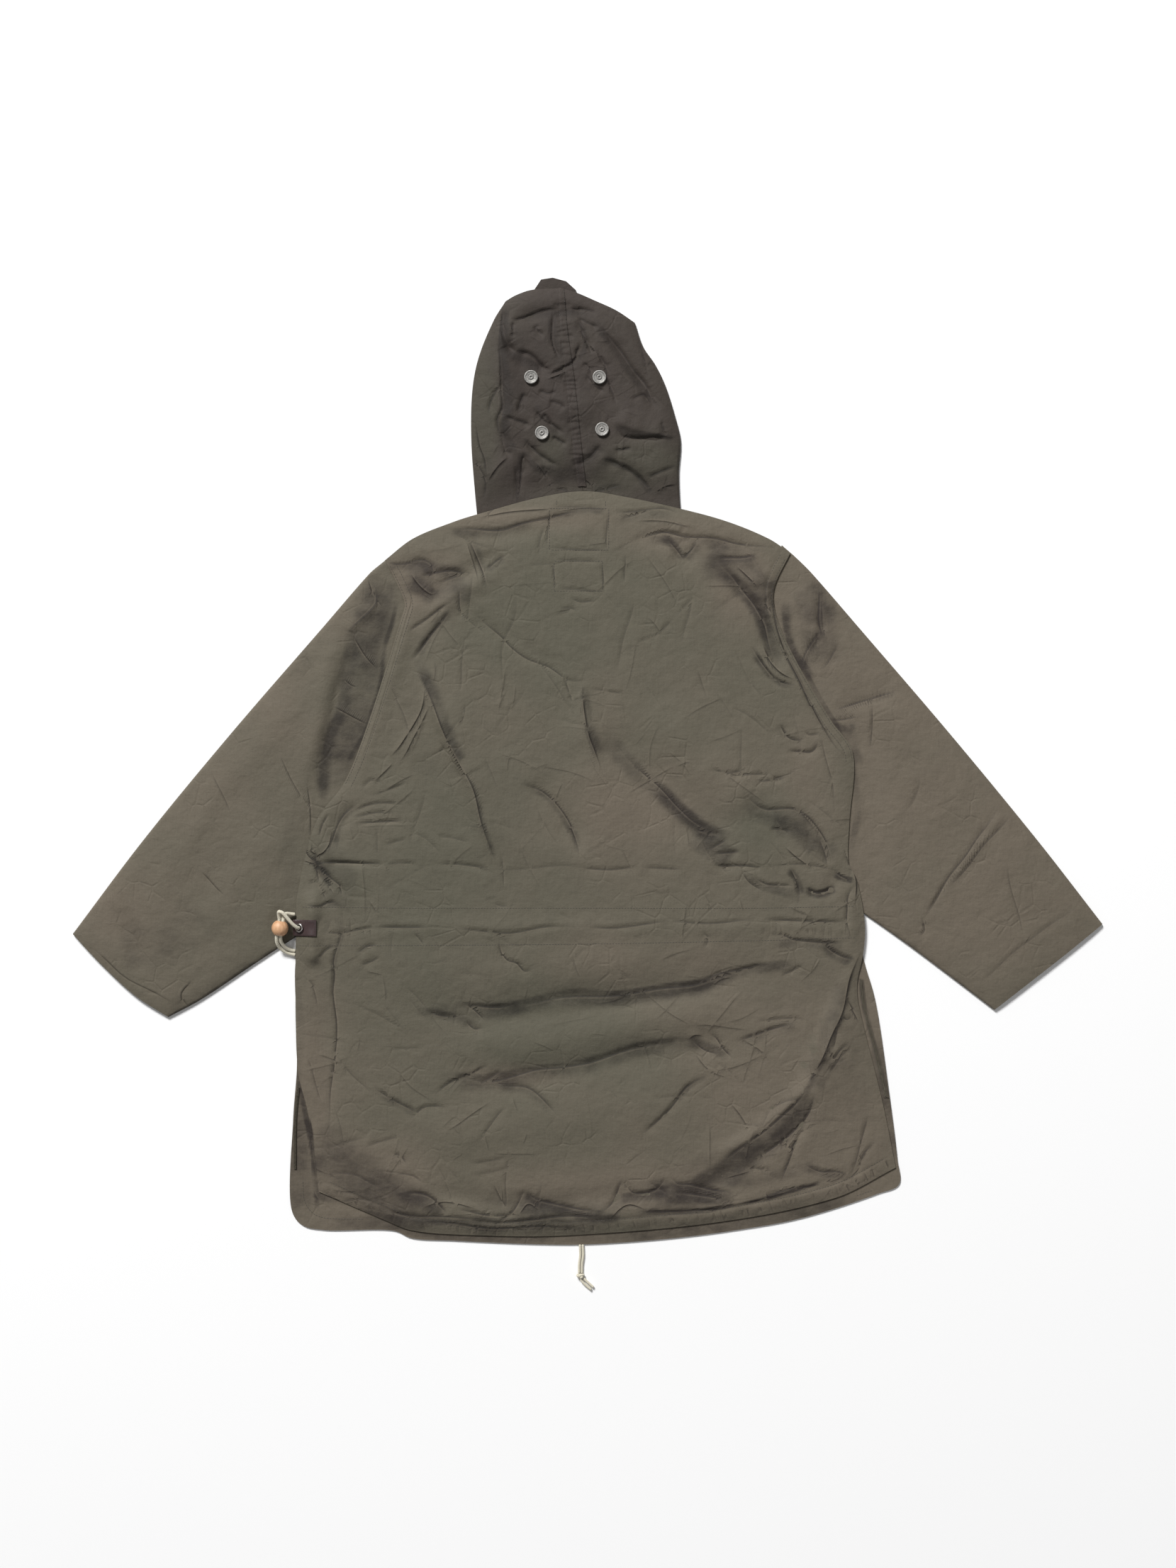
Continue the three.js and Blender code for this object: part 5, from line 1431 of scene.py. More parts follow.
def darkened(sheet, shades):
    """How much painted shade there is: on slopes that turn from the light, and in the painted shade strokes."""
    most, low, high = 0.6, 0.06, 0.5
    across = np.gradient(sheet, axis=1)
    along = np.gradient(sheet, axis=0)
    normal = np.cross(across, along)
    normal /= np.linalg.norm(normal, axis=2)[..., None] + 1e-9
    normal *= np.sign(normal[..., 2:3] + 1e-9)
    away = -(normal[..., :2] @ LIGHT_FROM)
    turned_away = most * ease((away - low) / (high - low))
    return 1 - (1 - turned_away) * (1 - shades_drawn(shades, *wobbled(sheet[..., 0], sheet[..., 1])))


def stations(parts):
    """Shares from zero to one, from rows of a length and its number of cells."""
    steps = np.concatenate([np.full(count, length / count) for length, count in parts])
    return np.concatenate([[0], np.cumsum(steps)]) / steps.sum()


def distances(sheet, axis):
    """How far each point is from the first edge and from the last one, along the sheet."""
    steps = np.linalg.norm(np.diff(sheet, axis=axis), axis=2)
    pad = [(1, 0), (0, 0)] if axis == 0 else [(0, 0), (1, 0)]
    from_first = np.pad(np.cumsum(steps, axis=axis), pad)
    return from_first, from_first.max(axis=axis, keepdims=True) - from_first


ARMHOLE_SEAM = 10.0
HEM_CHANNEL = 15.0


def back_sheet():
    """The upper side of the back, and what its creases paint on it."""
    across = stations([(14, 12), (562, 231), (14, 12)])
    along = stations([(20, 15), (726, 332), (14, 12)])
    v, u = np.meshgrid(along, across, indexing="ij")
    sheet = panel_between(BACK_HEM, BACK_NECK, BACK_LEFT, BACK_RIGHT)(u, v)
    x, y = sheet[..., 0], sheet[..., 1]
    roll = roll_up(u * BACK_SPAN[0]) * roll_up((1 - u) * BACK_SPAN[0])
    roll = roll * roll_up(v * BACK_SPAN[1]) * roll_up((1 - v) * BACK_SPAN[1])
    from_left, from_right = distances(sheet, 1)
    from_hem, _ = distances(sheet, 0)
    from_side = np.minimum(from_left, from_right)
    large = folds_height(BACK_LARGE, x, y)
    moved_x, moved_y = wobbled(x, y)
    chance = scattered(11, 260, (-300, -500), (300, 260), (12, 75), (0.12, 0.5), (1.2, 3.2))
    hem_line = [(x0, y0 + HEM_CHANNEL / 2) for x0, y0, _ in BACK_HEM]
    gathers = puckers(5, hem_line, (4, 20), (5, 17), (0.2, 0.9), (1.3, 2.6))
    right_waist = [(196, -190), (240, -191), (292, -190)]
    gathers += puckers(6, right_waist, (5, 13), (5, 17), (0.3, 0.8), (1.6, 2.6))
    gathers += puckers(7, [(-300, -186), (-240, -186)], (8, 16), (14, 26), (0.2, 0.6), (2, 3.5))
    small = BACK_CREASES + chance + gathers
    fine = folds_height(small, moved_x, moved_y)
    channel = 1.0 * np.exp(-(((from_hem - HEM_CHANNEL / 2) / 6) ** 2))
    channel -= 0.8 * np.exp(-(((from_hem - HEM_CHANNEL) / 1.6) ** 2))
    armhole = ease(y / 12) * (
        0.5 * ease((ARMHOLE_SEAM - from_side) / 1.5)
        - 0.7 * np.exp(-(((from_side - ARMHOLE_SEAM) / 1.4) ** 2))
    )
    lift = soft_floor(BACK_PUFF + large + fine + channel + armhole)
    sheet[..., 2] += roll * lift
    return sheet, crease_lines(small, moved_x, moved_y)


back, back_lines_drawn = back_sheet()
back_cloth = closed_shell("back_cloth", back, back - (0, 0, WALL))
paint(
    back_cloth,
    brown=tinted(0.35, BACK_TINTS, back[..., 0], back[..., 1]),
    dark=darkened(back, shades=BACK_SHADES),
    **back_lines_drawn,
)
piece(back_cloth, body_cotton, "shell_cotton", "back_panel")
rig.sheet(
    back_cloth,
    flat=(0.70, 0.86),
    area=0.46,
    held="laid",
    rests_on=["front_panel", "sleeve_left", "sleeve_right"],
)


# Sleeves

SLEEVE_PUFF = 3.2
SLEEVE_OUTLINES = {
    "left": {
        "arm": [(-216, 232), (-201, 196), (-193, 172), (-197, 148), (-222, 80), (-245, 2),
                (-282, -92), (-295, -144), (-303, -183)],
        "upper": [(-216, 232), (-230, 221), (-244, 209), (-296, 149), (-399, 30), (-496, -88),
                  (-575, -193)],
        "lower": [(-303, -183), (-325, -196), (-371, -226), (-431, -266), (-468, -286)],
        "cuff": [(-575, -193), (-544, -226), (-505, -262), (-468, -286)],
    },
    "right": {
        "arm": [(217, 241), (196, 196), (195, 168), (200, 139), (216, 101), (252, 38), (278, 2),
                (285, -37), (283, -100), (288, -158)],
        "upper": [(217, 241), (233, 227), (251, 209), (303, 149), (405, 30), (502, -88), (575, -182)],
        "lower": [(288, -158), (309, -171), (360, -207), (412, -246), (454, -278)],
        "cuff": [(575, -182), (532, -217), (495, -246), (454, -278)],
    },
}
SLEEVE_FOLDS = {
    "left": [
        fold(-4.2, 15, 1, (-254, 168), (-264, 115), (-275, 65), (-290, 10), (-299, -50)),
        fold(2.6, 16, 1, (-276, 150), (-288, 110), (-300, 50), (-312, -20)),
        fold(2.2, 26, 1, (-300, 100), (-372, 10), (-440, -90), (-500, -190)),
        fold(1.6, 24, 1, (-340, -60), (-390, -140), (-440, -210)),
        fold(-1.4, 20, 1, (-360, 20), (-430, -90), (-480, -170)),
        fold(-1.6, 13, 1, (-524, -158), (-508, -200), (-494, -240)),
        crease(-1.8, 3, (-288, 60), (-275, 54), (-262, 49), (-245, 42)),
        crease(-1.4, 3, (-262, 141), (-255, 130), (-245, 115), (-234, 102)),
        crease(-1.2, 3, (-272, 92), (-265, 85), (-258, 82)),
        crease(1.6, 4, (-240, 200), (-238, 180), (-252, 160), (-272, 142)),
        crease(-1.3, 3, (-246, 206), (-242, 190), (-232, 172)),
        crease(-1.0, 3, (-312, -24), (-311, -60), (-309, -88)),
        crease(-0.8, 3, (-342, 10), (-334, -10), (-324, -34), (-314, -54)),
        crease(-0.8, 3, (-430, -124), (-414, -142), (-404, -150)),
        crease(-0.9, 4, (-440, -246), (-452, -262), (-446, -276)),
        crease(-0.7, 2, (-556, -206), (-518, -238), (-460, -272)),
        crease(-0.6, 3, (-420, -10), (-410, -34), (-398, -60)),
    ],
    "right": [
        fold(-3.0, 14, 1, (222, 176), (232, 130), (252, 92)),
        fold(2.8, 14, 1, (230, 204), (246, 160), (250, 122)),
        fold(2.2, 26, 1, (300, 110), (370, 20), (440, -80), (510, -180)),
        fold(-1.6, 12, 1, (270, 66), (306, 72), (346, 84)),
        fold(1.6, 8, 1, (468, -52), (424, -108), (386, -160)),
        crease(-2.2, 3, (258, 192), (257, 162), (261, 147), (268, 136)),
        crease(-1.8, 3, (262, 146), (252, 130), (243, 115), (239, 103)),
        crease(-1.0, 3, (262, 100), (272, 112), (282, 132)),
        crease(-2.0, 3, (268, 54), (285, 60), (302, 65), (348, 78)),
        crease(-1.6, 3, (272, 44), (286, 47), (300, 50)),
        crease(-1.0, 3, (317, 66), (318, 40), (316, 10)),
        crease(-1.6, 3, (460, -48), (424, -102), (396, -142), (370, -186)),
        crease(-1.2, 3, (477, -56), (446, -90), (420, -124), (400, -146)),
        crease(-1.0, 3, (370, -176), (376, -190), (366, -198)),
        crease(-0.7, 2, (552, -156), (495, -199), (434, -252)),
        crease(-0.6, 3, (470, -110), (474, -150), (486, -200)),
        crease(-0.6, 3, (374, -20), (362, -46), (352, -60)),
    ],
}
# Painted shade of the sleeves' folds, and painted shadow beside the back's edge that lies over them
SLEEVE_SHADES = {
    "left": [
        shade(0.36, 34, 34, (-420, -160), (-470, -205), (-525, -195)),
        shade(0.56, 24, 24, (-224, 210), (-237, 182), (-246, 150)),
        shade(0.50, 9, 9, (-248, 172), (-262, 140), (-264, 115), (-270, 90), (-275, 65), (-282, 40),
              (-288, 20), (-293, 0), (-299, -60)),
        shade(0.62, 5, 7, (-276, 62), (-284, 36), (-290, 12), (-294, -12), (-297, -56)),
        shade(0.62, 24, 24, (-228, 196), (-240, 150), (-248, 104), (-256, 64), (-268, 24), (-280, -14),
              (-294, -50)),
        shade(0.70, 3, 3, (-212, 190), (-222, 140), (-230, 96), (-240, 62), (-252, 26), (-270, -12)),
        shade(0.20, 9, 9, (-308, 130), (-312, 60), (-314, -20)),
        shade(0.28, 12, 14, (-326, -50), (-334, -110), (-322, -180)),
        shade(0.25, 12, 12, (-300, 170), (-316, 130), (-330, 80)),
        shade(0.25, 16, 16, (-526, -150), (-512, -196), (-500, -236)),
        shade(0.25, 12, 12, (-480, -280), (-420, -256), (-360, -216)),
    ],
    "right": [
        shade(0.52, 26, 26, (236, 204), (254, 166), (262, 130), (272, 98)),
        shade(0.50, 8, 8, (219, 180), (225, 140), (232, 116), (244, 100), (256, 88)),
        shade(0.66, 5, 6, (228, 128), (240, 106), (252, 90)),
        shade(0.60, 3, 6, (217, 190), (219, 160), (226, 130), (240, 104), (262, 64), (284, 30),
              (297, 8)),
        shade(0.85, 2, 3, (258, 194), (257, 162), (261, 147), (268, 134)),
        shade(0.60, 2, 5, (262, 146), (252, 130), (243, 115), (239, 103)),
        shade(0.60, 2, 4, (266, 54), (285, 60), (302, 65), (350, 78)),
        shade(0.60, 4, 5, (272, 46), (286, 38), (300, 44)),
        shade(0.45, 12, 8, (282, 40), (298, 14), (306, -10)),
        shade(0.40, 3, 8, (294, 12), (297, -24), (297, -70), (293, -112)),
        shade(0.25, 4, 6, (460, -48), (424, -102), (370, -186)),
        shade(0.20, 9, 9, (230, 216), (262, 186), (282, 150)),
    ],
}
SLEEVE_SPAN = (255, 400)
SLEEVE_SEEDS = {"left": 21, "right": 22}
SIDE_ROUND = 2.2
SIDE_ARC = [(math.sin(turn * math.pi), math.cos(turn * math.pi)) for turn in np.linspace(0.1, 0.9, 7)]


def sleeve_top(side, u, v):
    """Heights and places of a sleeve's upper side."""
    lines = SLEEVE_OUTLINES[side]
    sheet = panel_between(lines["arm"], lines["cuff"], lines["upper"], lines["lower"])(u, v)
    x, y = sheet[..., 0], sheet[..., 1]
    arm_distance = beside_line(np.array(lines["arm"], float), x, y)[0]
    covered = ease((arm_distance - 24) / 40)
    roll = roll_up(u * SLEEVE_SPAN[0]) * roll_up((1 - u) * SLEEVE_SPAN[0]) * covered
    cuff_roll = 0.35 + 0.65 * roll_up((1 - v) * SLEEVE_SPAN[1])
    low, high = sheet[..., :2].min((0, 1)), sheet[..., :2].max((0, 1))
    chance = scattered(SLEEVE_SEEDS[side], 80, low, high, (20, 70), (0.08, 0.3), (2, 4))
    moved_x, moved_y = wobbled(x, y)
    rise = SLEEVE_PUFF + folds_height(SLEEVE_FOLDS[side], x, y)
    rise += folds_height(chance, moved_x, moved_y)
    z = TUBE_EDGE + roll * cuff_roll * soft_floor(rise)
    return np.dstack([sheet, z])


def sleeve_rows(side, inset):
    """Rings round the flattened sleeve, from the arm to the cuff."""
    margin = SIDE_ROUND / SLEEVE_SPAN[0]
    fine = np.linspace(margin, 1 - margin, 97)
    plain = np.linspace(fine[-1], fine[0], 13)
    along = np.linspace(0, 1, 151)
    v, u = np.meshgrid(along, fine, indexing="ij")
    top = sleeve_top(side, u, v)
    v_low, u_low = np.meshgrid(along, plain, indexing="ij")
    bottom = sleeve_top(side, u_low, v_low)
    bottom[..., 2] = inset
    edge = sleeve_top(side, *np.meshgrid([0.0, 1.0], along))
    half = TUBE_EDGE / 2

    def arc(start, end, low_first):
        made = []
        for out, up in SIDE_ARC:
            point = start + (end - start) * out * (1 - inset / SIDE_ROUND)
            point[:, 2] = half + (-up if low_first else up) * (half - inset)
            made.append(point)
        return np.stack(made, axis=1)

    high_side = arc(top[:, -1], edge[:, 1], False)
    low_side = arc(top[:, 0], edge[:, 0], True)
    lowered = top - (0, 0, inset)
    return np.concatenate([lowered, high_side, bottom, low_side], axis=1)


SLEEVE_TINTS = {
    "left": [
        (-350, 70, 50, 60, 0.5),
        (-430, -40, 50, 60, 0.4),
        (-520, -180, 70, 60, 0.5),
        (-280, 150, 40, 40, 0.3),
    ],
    "right": [(300, 60, 80, 80, 0.3), (420, -120, 100, 80, 0.2)],
}
for side in ("left", "right"):
    outer = sleeve_rows(side, 0.0)
    inner = sleeve_rows(side, WALL)
    sleeve = closed_shell(f"sleeve_cloth_{side}", outer, inner, ring=True)
    x, y = outer[..., 0], outer[..., 1]
    paint(
        sleeve,
        brown=tinted({"left": 0.4, "right": 0.8}[side], SLEEVE_TINTS[side], x, y),
        dark=darkened(outer, shades=SLEEVE_SHADES[side]),
        **crease_lines(SLEEVE_FOLDS[side], *wobbled(x, y)),
    )
    piece(sleeve, body_cotton, "shell_cotton", f"sleeve_{side}")
    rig.sheet(sleeve, flat=(0.41, 0.56), area=0.165, held="laid")


# Hood

HOOD_PUFF = 7.5
HOOD_SEAM = [(-4, 291), (-9, 330), (-14, 371), (-20, 430), (-26, 475), (-30, 528)]
HOOD_OUTLINES = {
    "left": {
        "base": [(-4, 291), (-54, 284), (-122, 260)],
        "side": [(-122, 260), (-126, 301), (-130, 358), (-129, 412), (-122, 450), (-105, 492),
                 (-92, 513)],
        "crown": [(-30, 528), (-62, 526), (-80, 520), (-92, 513)],
    },
    "right": {
        "base": [(-4, 291), (40, 285), (104, 271)],
        "side": [(104, 271), (102, 320), (104, 357), (98, 384), (87, 419), (76, 442), (62, 463),
                 (53, 489)],
        "crown": [(-30, 528), (-13, 523), (8, 514), (32, 503), (53, 489)],
    },
}
HOOD_LARGE = [
    fold(4.2, 24, 0.3, (-94, 508), (-96, 440), (-95, 392), (-92, 346)),
    fold(-3.4, 11, 1, (-86, 492), (-54, 498), (-20, 502), (14, 499)),
    fold(-3.0, 12, 1, (-92, 475), (-80, 452), (-38, 427)),
    fold(-3.2, 12, 1, (16, 486), (54, 432), (70, 404), (93, 374)),
    fold(3.4, 22, 0.4, (26, 382), (58, 370), (103, 360)),
    fold(-3.2, 13, 1, (15, 338), (58, 310), (74, 290)),
    fold(-3.0, 11, 1, (-69, 346), (-76, 312), (-79, 280)),
    fold(-2.4, 11, 1, (-60, 358), (-45, 314), (-38, 292)),
    fold(2.6, 20, 1, (-60, 400), (-20, 392), (20, 400)),
]
HOOD_CREASES = [
    # Left half
    crease(-3.64, 4, (-94, 512), (-94, 490), (-91, 473), (-83, 458), (-73, 452)),
    crease(-3.38, 3.2, (-98, 478), (-97, 448), (-98, 429), (-98, 414), (-94, 395), (-98, 381),
           (-92, 347)),
    crease(-2.34, 3.2, (-81, 456), (-64, 450), (-54, 440), (-42, 432)),
    crease(-2.34, 2.4, (-89, 494), (-80, 492), (-64, 495), (-46, 501), (-31, 502)),
    crease(-1.43, 2.4, (-82, 492), (-82, 471)),
    crease(-2.34, 2.4, (-37, 499), (-37, 481), (-37, 464), (-33, 452), (-28, 444)),
    crease(-2.86, 2.1, (-50, 428), (-35, 433), (-20, 441), (-12, 448), (-11, 454), (-6, 470)),
    crease(1.95, 3.2, (-48, 424), (-34, 429), (-20, 436)),
    crease(-1.69, 3.2, (-70, 412), (-76, 396), (-76, 386)),
    crease(-2.08, 3.2, (-94, 385), (-79, 378), (-69, 374), (-60, 371)),
    crease(-1.95, 3.2, (-94, 370), (-91, 346), (-81, 342)),
    crease(-2.08, 2.1, (-62, 391), (-50, 378), (-37, 372), (-23, 362)),
    crease(-1.56, 2.1, (-50, 385), (-38, 372)),
    crease(-2.21, 2.1, (-40, 361), (-30, 355), (-22, 350)),
    crease(-2.86, 3.2, (-70, 359), (-58, 345), (-43, 332), (-32, 325)),
    crease(-3.12, 2.4, (-69, 346), (-73, 326), (-77, 307), (-79, 284)),
    crease(-2.08, 2.4, (-81, 331), (-80, 307), (-80, 285)),
    crease(1.95, 2.4, (-58, 334), (-48, 318), (-43, 308), (-38, 298)),
    crease(-2.34, 2.4, (-53, 330), (-44, 312), (-38, 298)),
    crease(-1.82, 4, (-128, 342), (-121, 328), (-114, 312), (-118, 290)),
    crease(1.69, 3.2, (-113, 313), (-100, 331), (-88, 341)),
    crease(-1.43, 3.2, (-97, 425), (-107, 402), (-109, 385)),
    crease(-1.56, 3.2, (-124, 380), (-119, 352), (-114, 337), (-112, 314)),
    crease(-1.82, 2.4, (-40, 303), (-24, 301), (-10, 302)),
    crease(-1.69, 3.2, (-46, 470), (-56, 480), (-50, 484)),
    crease(-1.69, 3.2, (-44, 398), (-30, 394), (-24, 390)),
    crease(-1.43, 2.4, (-56, 412), (-44, 406), (-34, 410)),
    # Right half
    crease(-2.08, 2.4, (-20, 502), (-4, 502), (13, 500)),
    crease(-2.08, 2.4, (-12, 491), (-2, 471), (5, 452)),
    crease(-1.69, 2.4, (-12, 493), (4, 487), (15, 484)),
    crease(-1.82, 2.4, (6, 460), (18, 441), (22, 425), (30, 406), (33, 394)),
    crease(1.56, 2.4, (2, 466), (8, 456), (14, 442)),
    crease(-2.6, 3.2, (14, 490), (26, 473), (38, 456), (51, 435), (63, 418), (72, 399), (82, 385)),
    crease(-1.69, 3.2, (58, 472), (63, 452), (66, 433)),
    crease(-1.43, 3.2, (46, 400), (61, 406), (70, 396)),
    crease(-2.86, 2.4, (34, 376), (38, 364), (55, 360), (76, 358), (103, 356)),
    crease(-1.82, 2.4, (-4, 430), (8, 418), (20, 412)),
    crease(-1.69, 2.4, (-6, 444), (2, 436), (4, 426)),
    crease(-2.34, 4, (14, 337), (26, 335), (38, 328), (51, 318), (61, 309), (72, 295)),
    crease(-1.56, 2.4, (64, 314), (80, 320), (101, 328)),
    crease(1.43, 2.4, (70, 298), (86, 306), (100, 308)),
    crease(-1.56, 2.4, (28, 347), (40, 348), (52, 349)),
    crease(-2.6, 4, (-20, 328), (-2, 335), (7, 341), (18, 355)),
    crease(-1.95, 2.4, (-2, 298), (20, 303), (40, 308)),
    crease(1.82, 3.2, (-12, 318), (0, 312), (4, 302)),
    crease(-1.69, 3.2, (84, 380), (86, 366), (92, 358)),
]
# Painted shade of the hood's folds, and painted shadow beside its rolled left edge
HOOD_SHADES = [
    shade(0.90, 2, 7, (-92, 516), (-94, 490), (-96, 462), (-96, 430), (-94, 404)),
    shade(0.45, 10, 16, (-88, 500), (-84, 440), (-82, 400), (-84, 370)),
    shade(0.95, 2.5, 9, (-93, 512), (-95, 478), (-97, 445), (-95, 420), (-92, 382), (-90, 352)),
    shade(0.62, 4, 9, (-97, 468), (-86, 456), (-72, 447), (-48, 434)),
    shade(0.39, 46, 46, (-24, 530), (-34, 470), (-28, 420), (-20, 350), (-10, 286)),
    shade(0.73, 2, 5, (-10, 494), (-3, 466), (-12, 448), (-46, 428)),
    shade(0.67, 4, 8, (6, 500), (38, 450), (60, 414), (76, 388)),
    shade(0.78, 7, 2, (26, 376), (44, 366), (104, 354)),
    shade(0.67, 4, 5, (18, 340), (30, 334), (50, 322), (74, 292)),
    shade(0.56, 6, 8, (-46, 312), (-18, 320), (4, 314)),
    shade(0.67, 6, 9, (-98, 384), (-90, 362), (-78, 344)),
    shade(0.84, 2, 4, (-74, 348), (-79, 320), (-80, 284)),
    shade(0.56, 4, 6, (-72, 348), (-54, 324), (-30, 326)),
    shade(0.67, 1.5, 8, (-82, 494), (-54, 499), (16, 500)),
    shade(0.50, 5, 7, (-38, 500), (-37, 470), (-28, 442)),
    shade(0.45, 6, 6, (-62, 396), (-44, 376), (-20, 360)),
    shade(0.50, 5, 6, (-10, 300), (20, 306), (44, 304)),
    shade(0.39, 6, 8, (-114, 350), (-112, 318), (-116, 280)),
    shade(0.45, 7, 7, (-20, 330), (0, 338), (18, 356)),
]
HOOD_TINTS = [
    (-40, 345, 16, 22, -0.9),
    (62, 335, 52, 24, -1.0),
    (30, 310, 30, 18, -0.7),
    (-20, 300, 60, 10, -0.4),
    (-116, 384, 17, 80, -1.3),
]
BUTTON_PLACES = {
    "upper_left": (-63, 427),
    "upper_right": (13, 427),
    "lower_left": (-51, 365),
    "lower_right": (16, 369),
}
FELL_WIDTH = 9.0
HOOD_SPAN = (112, 238)
hood_chance = scattered(31, 90, (-125, 280), (100, 520), (12, 40), (0.1, 0.4), (2, 3.5))
hood_gathers = puckers(8, HOOD_SEAM, (4.5, 8.5), (12, 26), (0.5, 1.2), (1.6, 2.8))


def hood_point(side, u, v):
    """The upper side of half of the hood; u runs from the centre seam out to the side."""
    outline = HOOD_OUTLINES[side]
    outward = -1 if side == "left" else 1
    sheet = panel_between(outline["base"], outline["crown"], HOOD_SEAM, outline["side"])(u, v)
    sheet[..., 0] += outward * 0.15 * (1 - u)
    x, y = sheet[..., 0], sheet[..., 1]
    from_neck = ease((v * HOOD_SPAN[1] - 14) / 40)
    roll = roll_up((1 - u) * HOOD_SPAN[0]) * from_neck * roll_up((1 - v) * HOOD_SPAN[1])
    moved_x, moved_y = wobbled(x, y)
    fine = folds_height(HOOD_CREASES + hood_chance, moved_x, moved_y)
    fine += folds_height(hood_gathers, x, y)
    for button_x, button_y in BUTTON_PLACES.values():
        fine *= ease((np.hypot(x - button_x, y - button_y) - 8) / 6)
    rise = HOOD_PUFF + folds_height(HOOD_LARGE, x, y) + fine
    return np.dstack([sheet, TUBE_EDGE + roll * soft_floor(rise)])


def hood_rows(side, inset):
    """Rows from the centre seam over the top, round the side and back below as a flap."""
    outermost = 1 - SIDE_ROUND / HOOD_SPAN[0]
    along = np.linspace(0, 1, 199)
    fine = np.linspace(0, outermost, 91)
    v, u = np.meshgrid(along, fine, indexing="ij")
    top = hood_point(side, u, v)
    v_flap, u_flap = np.meshgrid(along, outermost - 0.5 * np.linspace(0, 1, 13), indexing="ij")
    flap = hood_point(side, u_flap, v_flap)
    flap[..., 2] = inset
    edge = hood_point(side, np.ones((199, 1)), along[:, None])[:, 0]
    half = TUBE_EDGE / 2
    arc = []
    for out, up in SIDE_ARC:
        point = top[:, -1] + (edge - top[:, -1]) * out * (1 - inset / SIDE_ROUND)
        point[:, 2] = half + up * (half - inset)
        arc.append(point)
    return np.concatenate([top - (0, 0, inset), np.stack(arc, axis=1), flap], axis=1)


for side in ("left", "right"):
    outer = hood_rows(side, 0.0)
    inner = hood_rows(side, WALL)
    if side == "left":
        outer, inner = outer[:, ::-1], inner[:, ::-1]
    hood = closed_shell(f"hood_cloth_{side}", outer, inner)
    x, y = outer[..., 0], outer[..., 1]
    paint(
        hood,
        brown=tinted(0.9, HOOD_TINTS, x, y),
        dark=darkened(outer, shades=HOOD_SHADES),
        **crease_lines(HOOD_CREASES + hood_chance, *wobbled(x, y)),
    )
    piece(hood, hood_cotton, "shell_cotton", f"hood_{side}")
    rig.sheet(hood, flat=(0.19, 0.27), area=0.042, held="laid")


def fell_strip():
    """The felled seam over the joint of the hood's halves."""
    share = FELL_WIDTH / 2 / HOOD_SPAN[0]
    along = np.linspace(1 / 15, 1, 205)
    columns = []
    for side, shares in (("left", np.linspace(share, 0, 7)), ("right", np.linspace(0, share, 7)[1:])):
        v, u = np.meshgrid(along, shares, indexing="ij")
        columns.append(hood_point(side, u, v))
    under = np.concatenate(columns, axis=1) + (0, 0, 0.3)
    crown = np.sin(np.linspace(0, math.pi, under.shape[1])) ** 0.5
    outer = under + (0, 0, 0.6) + crown[None, :, None] * np.array([0, 0, 0.6])
    made = closed_shell("hood_fell", outer, under, coarse=4)
    paint(made, brown=np.full(outer.shape[:2], 0.95), dark=darkened(outer, shades=HOOD_SHADES))
    return piece(made, hood_cotton, "shell_cotton", "hood_seam")


fell = fell_strip()

BRIM_OUTLINE = [(-58, 505), (-16, 505), (-13, 526), (-24, 536), (-39, 540), (-52, 538), (-60, 526)]


def brim():
    """The small flat piece that peeks out above the crown, with its turned edge."""
    corners = np.array(BRIM_OUTLINE + BRIM_OUTLINE[:1], float)
    steps = np.linspace(0, 1, 161)[:-1]
    lengths = lengths_along(corners)
    stops = steps * lengths[-1]
    outline = np.stack([np.interp(stops, lengths, corners[:, k]) for k in range(2)], axis=1)
    turned_edge = 526

    def top(_, y):
        return WALL + 0.25 * np.exp(-(((turned_edge - y) / 3) ** 2))

    middle = np.array([-37.0, 516.0])
    made = flat_shell("hood_brim_cloth", outline, middle, (0, 0.6, 2, 4, 6), top, WALL)
    # Painted shade: the whole brim is painted darker, as it lies in the hood's shade
    paint(made, brown=np.full(4, 0.9), dark=np.full(4, 0.25))
    return piece(made, hood_cotton, "shell_cotton", "hood_brim")


brim()


# Front panel: only its rim shows, beside the vents and below the back's hem

FRONT_OUTLINE = [
    (-330, -504), (-318, -519), (-295, -524), (-216, -525), (-197, -533), (-149, -536),
    (-55, -540), (1, -540), (88, -534), (167, -524), (238, -511), (323, -484),
    (348, -473), (346, -444), (337, -372), (321, -266), (309, -224), (300, -178),
    (280, -167), (275, -100), (272, -37), (262, 4), (240, 34), (207, 92),
    (192, 137), (187, 168), (189, 196), (208, 236), (156, 259), (106, 262),
    (40, 277), (-4, 285), (-54, 277), (-122, 254), (-149, 259), (-209, 228),
    (-193, 196), (-186, 172), (-190, 148), (-215, 80), (-238, 2), (-276, -92),
    (-289, -144), (-296, -190), (-322, -208), (-325, -300), (-325, -345), (-329, -400),
]


def closed_curve(points, count):
    """Points of a centripetal curve that closes on itself, evenly shared among its spans."""
    points = np.asarray(points, float)
    share = np.linspace(0, len(points), count, endpoint=False)
    i = share.astype(int)
    w = (share - i)[:, None]
    p0, p1, p2, p3 = (points[(i + k) % len(points)] for k in (-1, 0, 1, 2))

    def knot_step(a, b):
        return np.maximum(np.linalg.norm(b - a, axis=1), 1e-6)[:, None] ** 0.5

    d0, d1, d2 = knot_step(p0, p1), knot_step(p1, p2), knot_step(p2, p3)
    t1 = ((p1 - p0) / d0 - (p2 - p0) / (d0 + d1) + (p2 - p1) / d1) * d1
    t2 = ((p2 - p1) / d1 - (p3 - p1) / (d1 + d2) + (p3 - p2) / d2) * d1
    return (
        p1 * (1 + 2 * w) * (1 - w) ** 2
        + t1 * w * (1 - w) ** 2
        + p2 * w * w * (3 - 2 * w)
        - t2 * w * w * (1 - w)
    )


def level_top(x, _):
    return np.full(x.shape, WALL)


